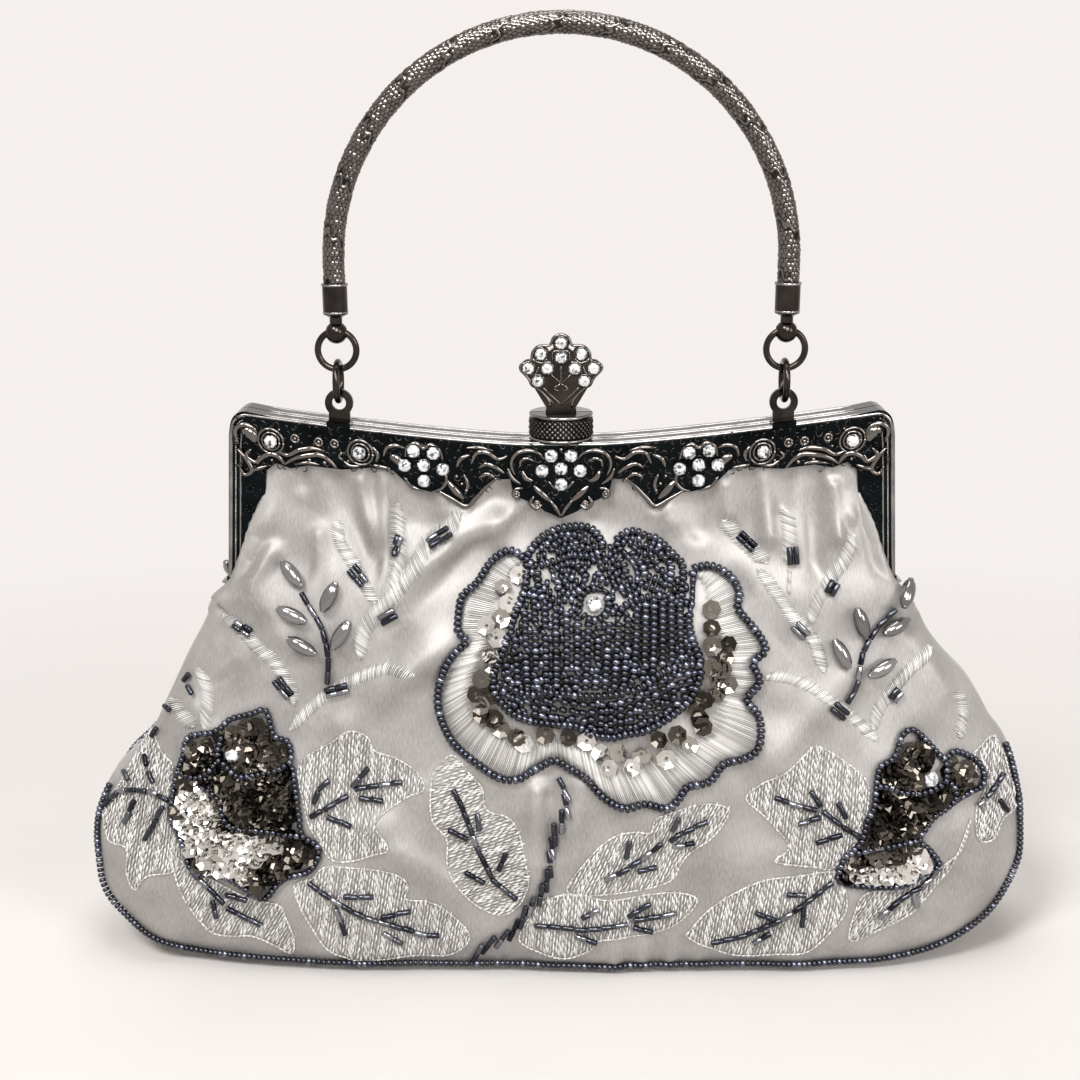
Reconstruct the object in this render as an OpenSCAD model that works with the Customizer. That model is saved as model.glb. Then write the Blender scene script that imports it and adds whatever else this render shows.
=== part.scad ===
// Framed evening bag: a satin pouch on a hinged two-part metal frame, with a
// ring-hung arched handle, a tilting fan clasp and beaded floral embroidery.
// +X is to the right, +Y points away from the front, +Z is up, and z = 0 is
// the flat base.

/* [Frame] */
// Width of the frame over its top corners
frame_w = 180; // [160:1:200]
// Height of the frame's top corners above the base
frame_h = 157; // [150:1:165]
// Dip of the top edge at its middle
frame_dip = 9; // [4:0.5:12]
// How far each leg leans outwards at the hinge
leg_flare = 3.5; // [1:0.5:6]
// Height of the front face of the top bar
bar_h = 9; // [8:0.5:12]
// Width of a leg seen from the front
leg_w = 9.5; // [9:0.5:12]
// Depth of one half frame
half_depth = 6; // [5.5:0.1:8]
// Gap between the two closed half frames
half_gap = 0.6; // [0.4:0.1:1]
// Sheet thickness of the half frames
frame_wall = 1; // [0.8:0.1:1.2]
// Height of the hinge axis above the base
hinge_h = 99; // [94:1:104]
// Radius of the round ear at the end of each leg
ear_r = 4.6; // [4:0.1:5.2]
// Radius of the hinge rivet's shank
rivet_r = 1.2; // [1:0.1:1.6]
// Thickness of the hinge rivet's outer head
rivet_head = 1.4; // [1:0.1:2]

/* [Pouch] */
// Greatest width of the pouch
belly_w = 270; // [250:1:290]
// Greatest depth of the pouch
belly_d = 59; // [50:1:70]
// Thickness of the satin shell
satin_t = 1.2; // [0.8:0.1:1.6]
// Thickness of the wadding between shell and lining
wadding_t = 1.6; // [1:0.1:2.4]
// Thickness of the lining
lining_t = 0.7; // [0.5:0.1:1]
// Thickness of the stiff board in the base
board_t = 1.8; // [1.2:0.1:3]
// How far the upper panels stand forward of the hinge axis
panel_out = 15.5; // [12:0.5:18]
// Height of the small fabric tongues that cover the hinges
tongue_h = 5; // [2:0.5:8]
// Radius of the bead edging along the seams
edging_r = 1; // [0.7:0.1:1.3]
// Height to which the bead edging climbs at each side
edging_top = 62; // [40:1:80]
// Width of the pocket inside
pocket_w = 96; // [70:1:120]
// Height of the pocket's mouth above the base
pocket_top = 78; // [60:1:88]
// Height of the pocket's foot above the base
pocket_foot = 24; // [15:1:40]

/* [Handle] */
// Distance from the middle of the bag to each handle chain
chain_x = 60.5; // [50:0.5:70]
// Radius of the handle's arch along its centre line
arch_r = 60.5; // [50:0.5:70]
// Radius of the handle's tube
tube_r = 2.9; // [2.4:0.1:3.4]
// Radius of the rod inside the tube
core_r = 1.6; // [1.2:0.1:2]
// Length of each ferrule
ferrule_l = 8.2; // [6:0.1:12]
// Wall of the ferrule around the tube
ferrule_wall = 0.4; // [0.3:0.1:0.8]
// Radius of the ball below each ferrule
ball_r = 3; // [2.8:0.1:3.4]
// Radius of the ring wire
wire_r = 0.9; // [0.7:0.05:1]
// Radius of a ring along its centre line
ring_r = 5.2; // [4.8:0.1:6]
// Outer radius of a handle tab
tab_r = 3.85; // [3.6:0.05:4.4]
// Radius of the hole in a handle tab
tab_hole_r = 1.9; // [1.8:0.05:2.1]
// Thickness of a handle tab
tab_t = 1.2; // [1:0.1:1.4]
// Height of the tab's hole above the frame
tab_lift = 5.8; // [5.2:0.1:7]

/* [Clasp] */
// Radius of the round clasp housing
drum_r = 8.5; // [7.5:0.1:10]
// Height of the clasp housing
drum_h = 7.5; // [6.5:0.1:9]
// Width of the slot for the lever
slot_w = 8.4; // [7:0.1:10]
// Thickness of the fan lever
fan_t = 1.8; // [1.4:0.1:2.2]
// Height of the lever's pivot above the frame
pivot_up = 4; // [3.6:0.1:4.6]
// Radius of the lever's pivot pin
pin_r = 0.8; // [0.6:0.05:1]
// Radius of the lever's barrel around the pin
barrel_r = 1.5; // [1.4:0.05:1.7]
// Thickness of the leaf spring
leaf_t = 0.3; // [0.2:0.05:0.5]

/* [Ornament] */
// Thickness of the cast scrollwork plate
scroll_t = 0.8; // [0.6:0.1:1.2]
// Radius of the round stones
stone_r = 1.5; // [1.2:0.1:1.8]
// Height of a stone above its setting
stone_h = 0.7; // [0.5:0.1:1]
// Height of a stone setting above the plate
setting_h = 0.8; // [0.5:0.1:1.2]
// Thickness of the thread and bead embroidery
stitch_t = 1.4; // [0.8:0.1:2]
// Height of the flower's strings of beads
bead_t = 1.8; // [1.2:0.1:2.2]
// Depth of the ribs between the strings of beads
rib_depth = 0.5; // [0.2:0.1:0.8]
// Length of a bugle bead
bugle_l = 3.6; // [2.5:0.1:6]
// Radius of a bugle bead
bugle_r = 0.8; // [0.6:0.1:1]
// Length of a rice pearl
pearl_l = 9; // [7:0.5:11]
// Radius of a rice pearl
pearl_r = 2.1; // [1.8:0.1:2.6]

/* [Hidden] */

// Small steps and clearances
eps = 0.01;
soft_gap = 0.3;
run_gap = 0.05;
slide_gap = 0.2;

// Frame: the front half lies between y_face and y_seam
y_seam = half_gap / 2;
y_face = y_seam + half_depth;
y_mid = y_seam + half_depth / 2;
corner_r = 4;
flat_half = 10;
half_w_top = frame_w / 2;
hinge_x = half_w_top + leg_flare;
leg_end_z = hinge_h + ear_r + 0.4;
frame_mid_z = frame_h - frame_dip;
web_room = 2.4;
grip = 5;
cord_t = 1.2;

// Pouch: half sizes at the neck follow the hinge and the upper panels
neck_half_w = hinge_x + run_gap + rivet_head + 2 * soft_gap + satin_t;
neck_half_d = panel_out + 0.8 + satin_t;
belly_half_w = belly_w / 2;
belly_half_d = belly_d / 2;
rim_z = hinge_h - 1;
// Height, share of the belly's width, share of its depth and squareness
PROFILE = [
    [0.00, 0.22, 0.79, 5.0], [0.01, 0.41, 0.87, 4.6], [0.03, 0.59, 0.93, 4.3],
    [0.08, 0.78, 1.00, 4.0], [0.16, 0.92, 1.00, 3.6], [0.28, 1.00, 0.95, 3.3],
    [0.40, 0.99, 0.84, 3.1], [0.51, 0.91, 0.70, 3.0], [0.59, 0.78, 0.59, 2.9],
    [0.69, 0.58, 0.42, 2.9], [0.81, 0.35, 0.22, 2.9], [0.91, 0.16, 0.09, 3.0],
    [1.00, 0.00, 0.00, 3.2]
];
around = 40;
across = 20;
up_steps = 8;

// Handle chain heights, from the tab's hole upwards
tab_z = top_z(chain_x) + tab_lift;
rim_mid = (tab_r + tab_hole_r) / 2;
rim_reach = norm([(tab_r - tab_hole_r) / 2, tab_t / 2]) + wire_r + 0.1;
lower_pivot_z = tab_z + rim_mid;
lower_ring_z = lower_pivot_z - rim_reach + ring_r;
upper_pivot_z = lower_ring_z + ring_r - 2 * wire_r - 0.1;
upper_ring_z = upper_pivot_z + ring_r;
ball_sag = (ring_r - sqrt(ring_r * ring_r - ball_r * ball_r)) / 2;
ball_hole_r = wire_r + ball_sag + 0.08;
ball_z = upper_ring_z + ring_r - ball_sag;
ferrule_z = ball_z + 5;
ferrule_top = ferrule_z + ferrule_l;
arch_z = ferrule_top + 5.5;
socket_depth = 5;

// Clasp
drum_top = frame_mid_z + drum_h;
pivot_z = frame_mid_z + pivot_up;
pivot_y = y_seam + 1.2;
fan_z = drum_top + 1.5;
pin_end = slot_w / 2 + 2.4;
fan_stone_r = 1.5;

function top_z(x) = frame_h - frame_dip
    * (1 - pow(max(0, (min(abs(x), half_w_top) - flat_half) / (half_w_top - flat_half)), 1.3));
function leg_x(z) = half_w_top + leg_flare * (frame_h - z) / (frame_h - hinge_h);

// Half width, half depth and squareness of the pouch at a height
function share(z, k) = lookup(z / hinge_h, [for (row = PROFILE) [row[0], row[k]]]);
function half_w(z) = neck_half_w + (belly_half_w - neck_half_w) * share(z, 1);
function half_d(z) = neck_half_d + (belly_half_d - neck_half_d) * share(z, 2);
function signed_pow(v, p) = sign(v) * pow(abs(v), p);
function ring_pt(a, z, out) = [
    (half_w(z) + out) * signed_pow(cos(a), 2 / share(z, 3)),
    (half_d(z) + out) * signed_pow(sin(a), 2 / share(z, 3)),
    z
];

// Outer face of the front fabric, as the y of a point given by x and z
function pouch_y(x, z) = -half_d(z)
    * pow(max(0.001, 1 - pow(abs(x) / half_w(z), share(z, 3))), 1 / share(z, 3));
panel_edge_y = y_face - frame_wall - soft_gap;
function panel_rise(x, z) =
    let (low = top_z(x) - bar_h)
    pow(max(0, min(1, (low - z) / (low - hinge_h))), 2);
function panel_side(x, z) =
    1 - pow(1 - max(0, min(1, (leg_x(z) - leg_w - abs(x)) / 40)), 2.5);
function panel_y(x, z) = -(panel_edge_y
    + (panel_out - panel_edge_y) * panel_rise(x, z) * panel_side(x, z));
function front_y(x, z) = z <= rim_z ? pouch_y(x, z) : panel_y(x, z);

// A closed skin over a stack of rings with equal numbers of points
module skin(rings) {
    n = len(rings[0]);
    last = (len(rings) - 1) * n;
    points = [for (ring = rings) for (p = ring) p];
    low = [for (k = [0 : 2]) [for (p = rings[0]) p[k]] * [for (p = rings[0]) 1] / n];
    high_ring = rings[len(rings) - 1];
    high = [for (k = [0 : 2]) [for (p = high_ring) p[k]] * [for (p = high_ring) 1] / n];
    sides = [for (i = [0 : len(rings) - 2]) for (j = [0 : n - 1])
        let (a = i * n + j, b = i * n + (j + 1) % n)
        each [[a, a + n, b + n], [a, b + n, b]]];
    caps = [for (j = [0 : n - 1])
        each [[len(points), j, (j + 1) % n],
              [len(points) + 1, last + (j + 1) % n, last + j]]];
    polyhedron(concat(points, [low, high]), concat(sides, caps), convexity = 6);
}

// A closed sheet between two grids of points, rows upwards and columns along +X
module sheet(front, back) {
    rows = len(front);
    cols = len(front[0]);
    n = rows * cols;
    points = concat([for (row = front) each row], [for (row = back) each row]);
    faces = [for (i = [0 : rows - 2]) for (j = [0 : cols - 2])
        let (a = i * cols + j, d = a + cols)
        each [[a, d, d + 1], [a, d + 1, a + 1],
              [a + n, a + n + 1, d + n + 1], [a + n, d + n + 1, d + n]]];
    feet = [for (j = [0 : cols - 2])
        let (a = j, t = (rows - 1) * cols + j)
        each [[a, a + 1, a + n + 1], [a, a + n + 1, a + n],
              [t, t + n, t + n + 1], [t, t + n + 1, t + 1]]];
    ends = [for (i = [0 : rows - 2])
        let (a = i * cols, d = a + cols, e = a + cols - 1, f = e + cols)
        each [[a, a + n, d + n], [a, d + n, d], [e, f, f + n], [e, f + n, e + n]]];
    polyhedron(points, concat(faces, feet, ends), convexity = 6);
}

module mirrored_x() {
    children();
    mirror([1, 0, 0]) children();
}

// Turns a flat shape in X and Z into a plate between two depths
module plate(y0, y1) {
    translate([0, y1, 0]) rotate([90, 0, 0]) linear_extrude(y1 - y0) children();
}

// ---- frame ----

// Area inside the frame's outline, inset by the given amounts
function side_pts(top_in, side_in, r, foot) =
    let (cx = half_w_top - side_in - r, cz = top_z(half_w_top) - top_in - r)
    concat(
        [[leg_x(foot) - side_in, foot]],
        [for (a = [0 : 15 : 90]) [cx + r * cos(a), cz + r * sin(a)]],
        [for (k = [9 : -1 : 0]) let (x = cx * k / 10) [x, top_z(x) - top_in]]
    );
module frame_area(top_in, side_in, r, foot) {
    right = side_pts(top_in, side_in, r, foot);
    left = [for (k = [len(right) - 2 : -1 : 0]) [-right[k][0], right[k][1]]];
    polygon(concat(right, left));
}

module frame_band(outer_in, top_to, side_to, foot) {
    difference() {
        frame_area(outer_in, outer_in, corner_r - outer_in, foot);
        frame_area(top_to, side_to, 2, foot - 1);
    }
}

// One half frame in its place in front of the seam, with its ear at ear_x
module half_frame(ear_x) {
    difference() {
        union() {
            plate(-y_face, -y_seam) frame_band(0, bar_h, leg_w, leg_end_z);
            mirrored_x() {
                translate([ear_x, 0, hinge_h]) rotate([0, 90, 0])
                    cylinder(r = ear_r, h = frame_wall, $fn = 48);
                translate([ear_x, -y_face, hinge_h]) cube([frame_wall, half_depth, leg_end_z - hinge_h + 6]);
            }
        }
        plate(-y_face + frame_wall, -y_seam - frame_wall)
            frame_band(frame_wall, bar_h + 2, leg_w + 2, leg_end_z + 6);
        plate(-y_face + frame_wall, -y_seam - frame_wall)
            frame_band(frame_wall + web_room, bar_h + 2, leg_w + 2, leg_end_z - 1);
        mirrored_x()
            translate([ear_x - 1, 0, hinge_h]) rotate([0, 90, 0])
                cylinder(r = rivet_r + run_gap, h = frame_wall + 2, $fn = 48);
    }
}

ear_out_x = hinge_x - frame_wall;
ear_in_x = ear_out_x - frame_wall - slide_gap;

module front_frame() {
    color("#3a3a3d") half_frame(ear_out_x);
}

module rear_frame() {
    color("#3a3a3d") rotate([0, 0, 180]) half_frame(ear_in_x);
}

module hinge_rivet() {
    inner_x = ear_in_x - 0.1;
    outer_x = hinge_x + run_gap;
    color("#55555a") translate([0, 0, hinge_h]) rotate([0, 90, 0]) {
        translate([0, 0, inner_x - 1]) cylinder(r = rivet_r * 1.9, h = 1, $fn = 48);
        translate([0, 0, inner_x - eps]) cylinder(r = rivet_r, h = outer_x - inner_x + 2 * eps, $fn = 48);
        translate([0, 0, outer_x]) cylinder(r1 = rivet_r * 2, r2 = rivet_r, h = rivet_head, $fn = 48);
    }
}

module hinge_rivet_left() {
    mirror([1, 0, 0]) hinge_rivet();
}

module hinge_rivet_right() {
    hinge_rivet();
}

module channel_cord() {
    y_in = y_seam + frame_wall + 0.1;
    cord_in = frame_wall + web_room + 0.2;
    color("#8a7a62") plate(-y_in - cord_t, -y_in)
        frame_band(cord_in, cord_in + cord_t, cord_in + cord_t, leg_end_z + 1);
}

module front_channel_cord() {
    channel_cord();
}

module rear_channel_cord() {
    rotate([0, 0, 180]) channel_cord();
}

// ---- scrollwork and stones on the frame ----

// The scrollwork is drawn for a frame of this half width and widened with it
drawn_half_top = 90;
scroll_k = half_w_top / drawn_half_top;
scroll_end = 86;
scroll_drop = 21;
// Lower edge of the scrollwork: distance from the middle, drop below the top edge
SCROLL_EDGE = [
    [scroll_end, 17], [83, 16], [80, 14.5], [78, 12.5], [74, 13.5], [69, 12], [60, 12], [52, 10.5],
    [46, 10.5], [41.5, 14.5], [36, 15.5], [31, 15.5], [26, 19], [22, 15], [18.5, 10.5],
    [14, 10], [13, 14.5], [9.5, 16], [7, 17], [4.5, 19], [0, scroll_drop]
];
// Single stones and centres of the six-stone flowers: distance, drop, number of stones
STONES = [[79, 6.5], [55, 6.5]];
ROSETTE = [[-2.7, -3.6], [2.7, -3.6], [-5.2, 0.6], [0, 0], [5.2, 0.6], [0, 4.4]];
ROSETTES = [[-37.5, 8], [0, 6.8], [37.5, 8]];
function below_top(x, drop) = [x, top_z(x) - drop];
STONE_PTS = concat(
    [for (s = STONES) each [below_top(-s[0] * scroll_k, s[1]), below_top(s[0] * scroll_k, s[1])]],
    [for (r = ROSETTES) for (p = ROSETTE)
        let (c = below_top(r[0] * scroll_k, r[1])) [c[0] + p[0], c[1] - p[1]]]
);

module front_filigree() {
    edge = [for (p = SCROLL_EDGE) below_top(p[0] * scroll_k, p[1])];
    top = [for (k = [0 : 9]) below_top(scroll_end * scroll_k * k / 9, 0.8)];
    right = concat(top, edge);
    left = [for (k = [len(right) - 2 : -1 : 1]) [-right[k][0], right[k][1]]];
    color("#4a4a4e") {
        plate(-y_face - scroll_t, -y_face) polygon(concat(right, left));
        for (p = STONE_PTS)
            translate([p[0], -y_face - scroll_t + eps, p[1]]) rotate([90, 0, 0])
                cylinder(r = stone_r + 0.35, h = setting_h + eps, $fn = 24);
    }
}

module stone(r, h) {
    cylinder(r1 = r, r2 = r * 0.55, h = h, $fn = 24);
}

module frame_stones() {
    color("#e8eef2") for (p = STONE_PTS)
        translate([p[0], -y_face - scroll_t - setting_h, p[1]]) rotate([90, 0, 0]) stone(stone_r, stone_h);
}

// ---- clasp ----

slot_y_front = 5;
slot_y_rear = 4;
module half_disc(y0) {
    intersection() {
        circle(r = drum_r, $fn = 96);
        translate([-drum_r, -drum_r - y0]) square([2 * drum_r, drum_r]);
    }
}

module clasp_front_drum() {
    color("#3c3c3f") difference() {
        translate([0, 0, frame_mid_z]) linear_extrude(drum_h) half_disc(y_seam);
        translate([-slot_w / 2, -slot_y_front, frame_mid_z + 1.5]) cube([slot_w, slot_y_front, drum_h]);
        translate([-pin_end - 1, -pivot_y, pivot_z]) rotate([0, 90, 0])
            cylinder(r = pin_r, h = 2 * pin_end + 2, $fn = 32);
    }
}

module clasp_rear_drum() {
    color("#77777a") difference() {
        translate([0, 0, frame_mid_z]) rotate([0, 0, 180]) linear_extrude(drum_h) half_disc(y_seam);
        translate([-slot_w / 2, 0, frame_mid_z + 1.5]) cube([slot_w, slot_y_rear, drum_h]);
    }
}

// Stones on the fan: offset from the middle and height above the fan's foot
FAN_STONES = [
    [0, 17.8], [-5.5, 14.8], [5.5, 14.8], [0, 13.9], [-8.9, 10.9], [8.9, 10.9],
    [-3.7, 10.8], [3.7, 10.8], [-6.3, 7.4], [6.3, 7.4]
];
FAN_LOBES = [[0, 17.8], [-5.5, 14.8], [5.5, 14.8], [-8.7, 10.9], [8.7, 10.9], [-6.5, 7.6], [6.5, 7.6]];

module clasp_fan_lever() {
    neck_w = slot_w - 2 * slide_gap;
    color("#3a3a3d") difference() {
        union() {
            plate(-pivot_y - fan_t / 2, -pivot_y + fan_t / 2) {
                translate([-neck_w / 2, pivot_z]) square([neck_w, fan_z - pivot_z + 1]);
                polygon([[-neck_w / 2, fan_z], [neck_w / 2, fan_z], [8.5, fan_z + 7.6],
                    [8.7, fan_z + 11], [0, fan_z + 18], [-8.7, fan_z + 11], [-8.5, fan_z + 7.6]]);
                for (p = FAN_LOBES)
                    translate([p[0], fan_z + p[1]]) circle(r = 2.3, $fn = 32);
            }
            translate([-neck_w / 2, -pivot_y, pivot_z]) rotate([0, 90, 0])
                cylinder(r = barrel_r, h = neck_w, $fn = 48);
            translate([-2.5, -pivot_y, pivot_z - barrel_r]) cube([5, pivot_y + 2, 1]);
            for (p = FAN_STONES)
                translate([p[0], -pivot_y - fan_t / 2 + eps, fan_z + p[1]]) rotate([90, 0, 0])
                    cylinder(r = fan_stone_r + 0.3, h = 0.5 + eps, $fn = 24);
        }
        translate([-slot_w, -pivot_y, pivot_z]) rotate([0, 90, 0])
            cylinder(r = pin_r + run_gap, h = 2 * slot_w, $fn = 48);
    }
}

module clasp_fan_stones() {
    color("#e8eef2") for (p = FAN_STONES)
        translate([p[0], -pivot_y - fan_t / 2 - 0.5, fan_z + p[1]]) rotate([90, 0, 0])
            stone(fan_stone_r, stone_h);
}

module clasp_pin() {
    color("#77777a") translate([-pin_end, -pivot_y, pivot_z]) rotate([0, 90, 0])
        cylinder(r = pin_r, h = 2 * pin_end, $fn = 32);
}

// Leaf spring on the slot's floor, its free end just below the lever's nose
module clasp_spring() {
    floor_z = frame_mid_z + 1.5;
    back_y = slot_y_front - 0.2;
    nose_z = pivot_z - barrel_r - 0.05;
    color("#9a9a9d") translate([-2, 0, 0]) rotate([90, 0, 90]) linear_extrude(4)
        polygon([[-back_y, floor_z], [-1, floor_z], [-0.7, floor_z + leaf_t],
            [-back_y + leaf_t, floor_z + leaf_t], [-0.6, nose_z - leaf_t],
            [-0.6, nose_z], [-back_y, floor_z + 2 * leaf_t]]);
}

// ---- handle ----

module handle_tab() {
    foot = 2.9;
    color("#2e2e31") plate(-y_mid - tab_t / 2, -y_mid + tab_t / 2) difference() {
        union() {
            translate([chain_x, tab_z]) circle(r = tab_r, $fn = 64);
            polygon([[chain_x - foot, top_z(chain_x - foot)], [chain_x + foot, top_z(chain_x + foot)],
                [chain_x + foot, tab_z - 2.5], [chain_x - foot, tab_z - 2.5]]);
        }
        translate([chain_x, tab_z]) circle(r = tab_hole_r, $fn = 48);
    }
}

module handle_tab_left() {
    mirror([1, 0, 0]) handle_tab();
}

module handle_tab_right() {
    handle_tab();
}

module wire_ring() {
    rotate_extrude($fn = 64) translate([ring_r, 0]) circle(r = wire_r, $fn = 24);
}

module lower_ring(x) {
    color("#2e2e31") translate([x, -y_mid, lower_ring_z]) rotate([0, 90, 0]) wire_ring();
}

module upper_ring(x) {
    color("#2e2e31") translate([x, -y_mid, upper_ring_z]) rotate([90, 0, 0]) wire_ring();
}

module lower_ring_left() {
    lower_ring(-chain_x);
}

module lower_ring_right() {
    lower_ring(chain_x);
}

module upper_ring_left() {
    upper_ring(-chain_x);
}

module upper_ring_right() {
    upper_ring(chain_x);
}

module handle_ferrule(x) {
    shell_r = tube_r + run_gap + ferrule_wall;
    color("#333336") translate([x, -y_mid, 0]) difference() {
        union() {
            translate([0, 0, ball_z]) sphere(r = ball_r, $fn = 48);
            translate([0, 0, ball_z]) cylinder(r = 1.7, h = ferrule_z - ball_z + eps, $fn = 32);
            translate([0, 0, ferrule_z - 0.9]) cylinder(r1 = 1.7, r2 = shell_r, h = 0.9 + eps, $fn = 48);
            translate([0, 0, ferrule_z]) cylinder(r = shell_r, h = ferrule_l, $fn = 64);
        }
        translate([0, 0, ferrule_top - socket_depth])
            cylinder(r = tube_r + run_gap, h = socket_depth + 1, $fn = 64);
        translate([-ball_r - 1, 0, ball_z]) rotate([0, 90, 0])
            cylinder(r = ball_hole_r, h = 2 * ball_r + 2, $fn = 48);
    }
}

module handle_ferrule_left() {
    handle_ferrule(-chain_x);
}

module handle_ferrule_right() {
    handle_ferrule(chain_x);
}

// An arch with straight ends, of solid or hollow round section
module arch(r_out, r_in, foot_z) {
    module section() {
        difference() {
            circle(r = r_out, $fn = 48);
            circle(r = r_in, $fn = 32);
        }
    }
    translate([0, -y_mid, arch_z]) rotate([90, 0, 0])
        rotate_extrude(angle = 180, $fn = 96) translate([arch_r, 0]) section();
    for (x = [-arch_r, arch_r])
        translate([x, -y_mid, foot_z]) linear_extrude(arch_z - foot_z) section();
}

module handle_cover() {
    color("#45454a") arch(tube_r, core_r + run_gap, ferrule_top - socket_depth + 0.1);
}

module handle_core() {
    foot_z = ferrule_top - socket_depth;
    color("#77777a") {
        translate([0, -y_mid, arch_z]) rotate([90, 0, 0])
            rotate_extrude(angle = 180, $fn = 96) translate([arch_r, 0]) circle(r = core_r, $fn = 32);
        for (x = [-arch_r, arch_r])
            translate([x, -y_mid, foot_z]) cylinder(r = core_r, h = arch_z - foot_z, $fn = 32);
    }
}

// ---- pouch ----

RING_A = [for (k = [0 : around - 1]) 360 * k / around];

// Rings of one face of the wall, from its foot to a rim with tongues at the sides
function wall_rings(inset, foot, top, tongue) = concat(
    [[for (a = RING_A) ring_pt(a, foot, -inset)]],
    [for (row = PROFILE) let (z = row[0] * hinge_h)
        if (z > foot + 0.5 && z < top - 2) [for (a = RING_A) ring_pt(a, z, -inset)]],
    [[for (a = RING_A) ring_pt(a, top + tongue * pow(abs(cos(a)), 60), -inset)]]
);
function turned(list) = [for (k = [len(list) - 1 : -1 : 0]) list[k]];

// An open-topped pouch wall between two insets, with its floor between two heights
module pouch_layer(in_a, in_b, floor_a, floor_b, top, tongue) {
    skin(concat(wall_rings(in_a, floor_a, top, tongue), turned(wall_rings(in_b, floor_b, top, tongue))));
}

in_wadding = satin_t + soft_gap;
in_lining = in_wadding + wadding_t + soft_gap;
in_pocket = in_lining + lining_t + soft_gap;
inner_top = hinge_h - 9;
board_z = satin_t + 0.1;
lining_z = board_z + board_t + 0.1;

module pouch_shell() {
    color("#bdb9b4") pouch_layer(0, satin_t, 0, satin_t, rim_z, tongue_h);
}

// Wadding ring inside the shell, open at the foot where the board lies
module pouch_wadding() {
    low = lining_z + lining_t;
    outer = wall_rings(in_wadding, low, inner_top, 0);
    inner = wall_rings(in_wadding + wadding_t, low, inner_top, 0);
    color("#e6e2da") tube_skin(outer, inner);
}

// A closed wall between an outer and an inner stack of rings, open at both ends
module tube_skin(outer, inner) {
    n = len(outer[0]);
    rings = concat(outer, turned(inner));
    count = len(rings);
    faces = [for (i = [0 : count - 1]) for (j = [0 : n - 1])
        let (u = ((i + 1) % count) * n, a = i * n + j, k = (j + 1) % n)
        each [[a, u + j, u + k], [a, u + k, i * n + k]]];
    polyhedron([for (ring = rings) each ring], faces, convexity = 6);
}

module pouch_lining() {
    color("#a9a5a0")
        pouch_layer(in_lining, in_lining + lining_t, lining_z, lining_z + lining_t, inner_top, 0);
}

module base_board() {
    inset = satin_t + 2;
    color("#8c7b62") translate([0, 0, board_z]) linear_extrude(board_t)
        polygon([for (a = RING_A) let (p = ring_pt(a, 0, -inset)) [p[0], p[1]]]);
}

// A patch that follows the front fabric between two offsets inside it
module fabric_patch(x_half, z_low, z_high, in_a, in_b) {
    function row(z, inset) = [for (j = [0 : across])
        let (x = x_half * (2 * j / across - 1)) [x, pouch_y(x, z) + inset, z]];
    zs = [for (i = [0 : up_steps]) z_low + (z_high - z_low) * i / up_steps];
    sheet([for (z = zs) row(z, in_a)], [for (z = zs) row(z, in_b)]);
}

module inner_pocket() {
    inset = in_pocket + 0.2;
    color("#a09c97") rotate([0, 0, 180])
        fabric_patch(pocket_w / 2, pocket_foot, pocket_top, inset, inset + lining_t);
}

// Upper panels run from just above the hinge into the frame's channel
panel_foot = hinge_h + 0.2;
module upper_panel(in_a, in_b, foot) {
    function inner_x(z) = leg_x(z) - leg_w - 0.3;
    function col_x(j, z) = j == 0 ? -inner_x(z) - grip
        : j == across ? inner_x(z) + grip
        : inner_x(z) * (2 * (j - 1) / (across - 2) - 1);
    function row_z(i, x) = i == up_steps ? top_z(x) - bar_h + grip
        : foot + (top_z(x) - bar_h - 0.3 - foot) * i / (up_steps - 1);
    function pt(i, j, inset) =
        let (x = col_x(j, foot + (frame_mid_z - foot) * i / up_steps), z = row_z(i, x))
        [x, panel_y(x, z) + inset, z];
    sheet([for (i = [0 : up_steps]) [for (j = [0 : across]) pt(i, j, in_a)]],
          [for (i = [0 : up_steps]) [for (j = [0 : across]) pt(i, j, in_b)]]);
}

module front_panel() {
    color("#bdb9b4") upper_panel(0, satin_t - 0.2, panel_foot);
}

module rear_panel() {
    color("#bdb9b4") rotate([0, 0, 180]) upper_panel(0, satin_t - 0.2, panel_foot);
}

module front_panel_lining() {
    color("#a9a5a0") upper_panel(satin_t + 0.1, satin_t + 0.1 + lining_t * 0.8, panel_foot);
}

module rear_panel_lining() {
    color("#a9a5a0") rotate([0, 0, 180])
        upper_panel(satin_t + 0.1, satin_t + 0.1 + lining_t * 0.8, panel_foot);
}

// ---- bead edging along the front and rear seams ----

edge_a = 18;
edge_foot = 2.4;
function unit(v) = v / norm(v);
// A point standing off the pouch along the surface's own normal
function off_ring(a, z, out) =
    let (p = ring_pt(a, z, 0),
         n = unit(cross(ring_pt(a + 1, z, 0) - p, ring_pt(a, z + 0.5, 0) - p)))
    p + n * out;
function edging_path() =
    let (off = edging_r + 0.5,
         rise = [for (k = [0 : 8]) edge_foot + (edging_top - edge_foot) * pow(k / 8, 2)])
    concat(
        [for (k = [8 : -1 : 1]) off_ring(180 + edge_a, rise[k], off)],
        [for (a = [180 + edge_a : 360 / around : 360 - edge_a]) off_ring(a, edge_foot, off)],
        [for (k = [1 : 8]) off_ring(-edge_a, rise[k], off)]
    );
module edging() {
    path = edging_path();
    last = len(path) - 1;
    rings = [for (i = [0 : last])
        let (t = unit(path[min(i + 1, last)] - path[max(i - 1, 0)]),
             u = unit(cross([0, 1, 0], t)),
             v = cross(t, u))
        [for (a = [0 : 60 : 300]) path[i] + edging_r * (cos(a) * u + sin(a) * v)]];
    skin(rings);
}

module front_edge_beads() {
    color("#23263a") edging();
}

module rear_edge_beads() {
    color("#23263a") rotate([0, 0, 180]) edging();
}

// ---- embroidery, standing just off the fabric ----

relief_gap = 0.6;

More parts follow.
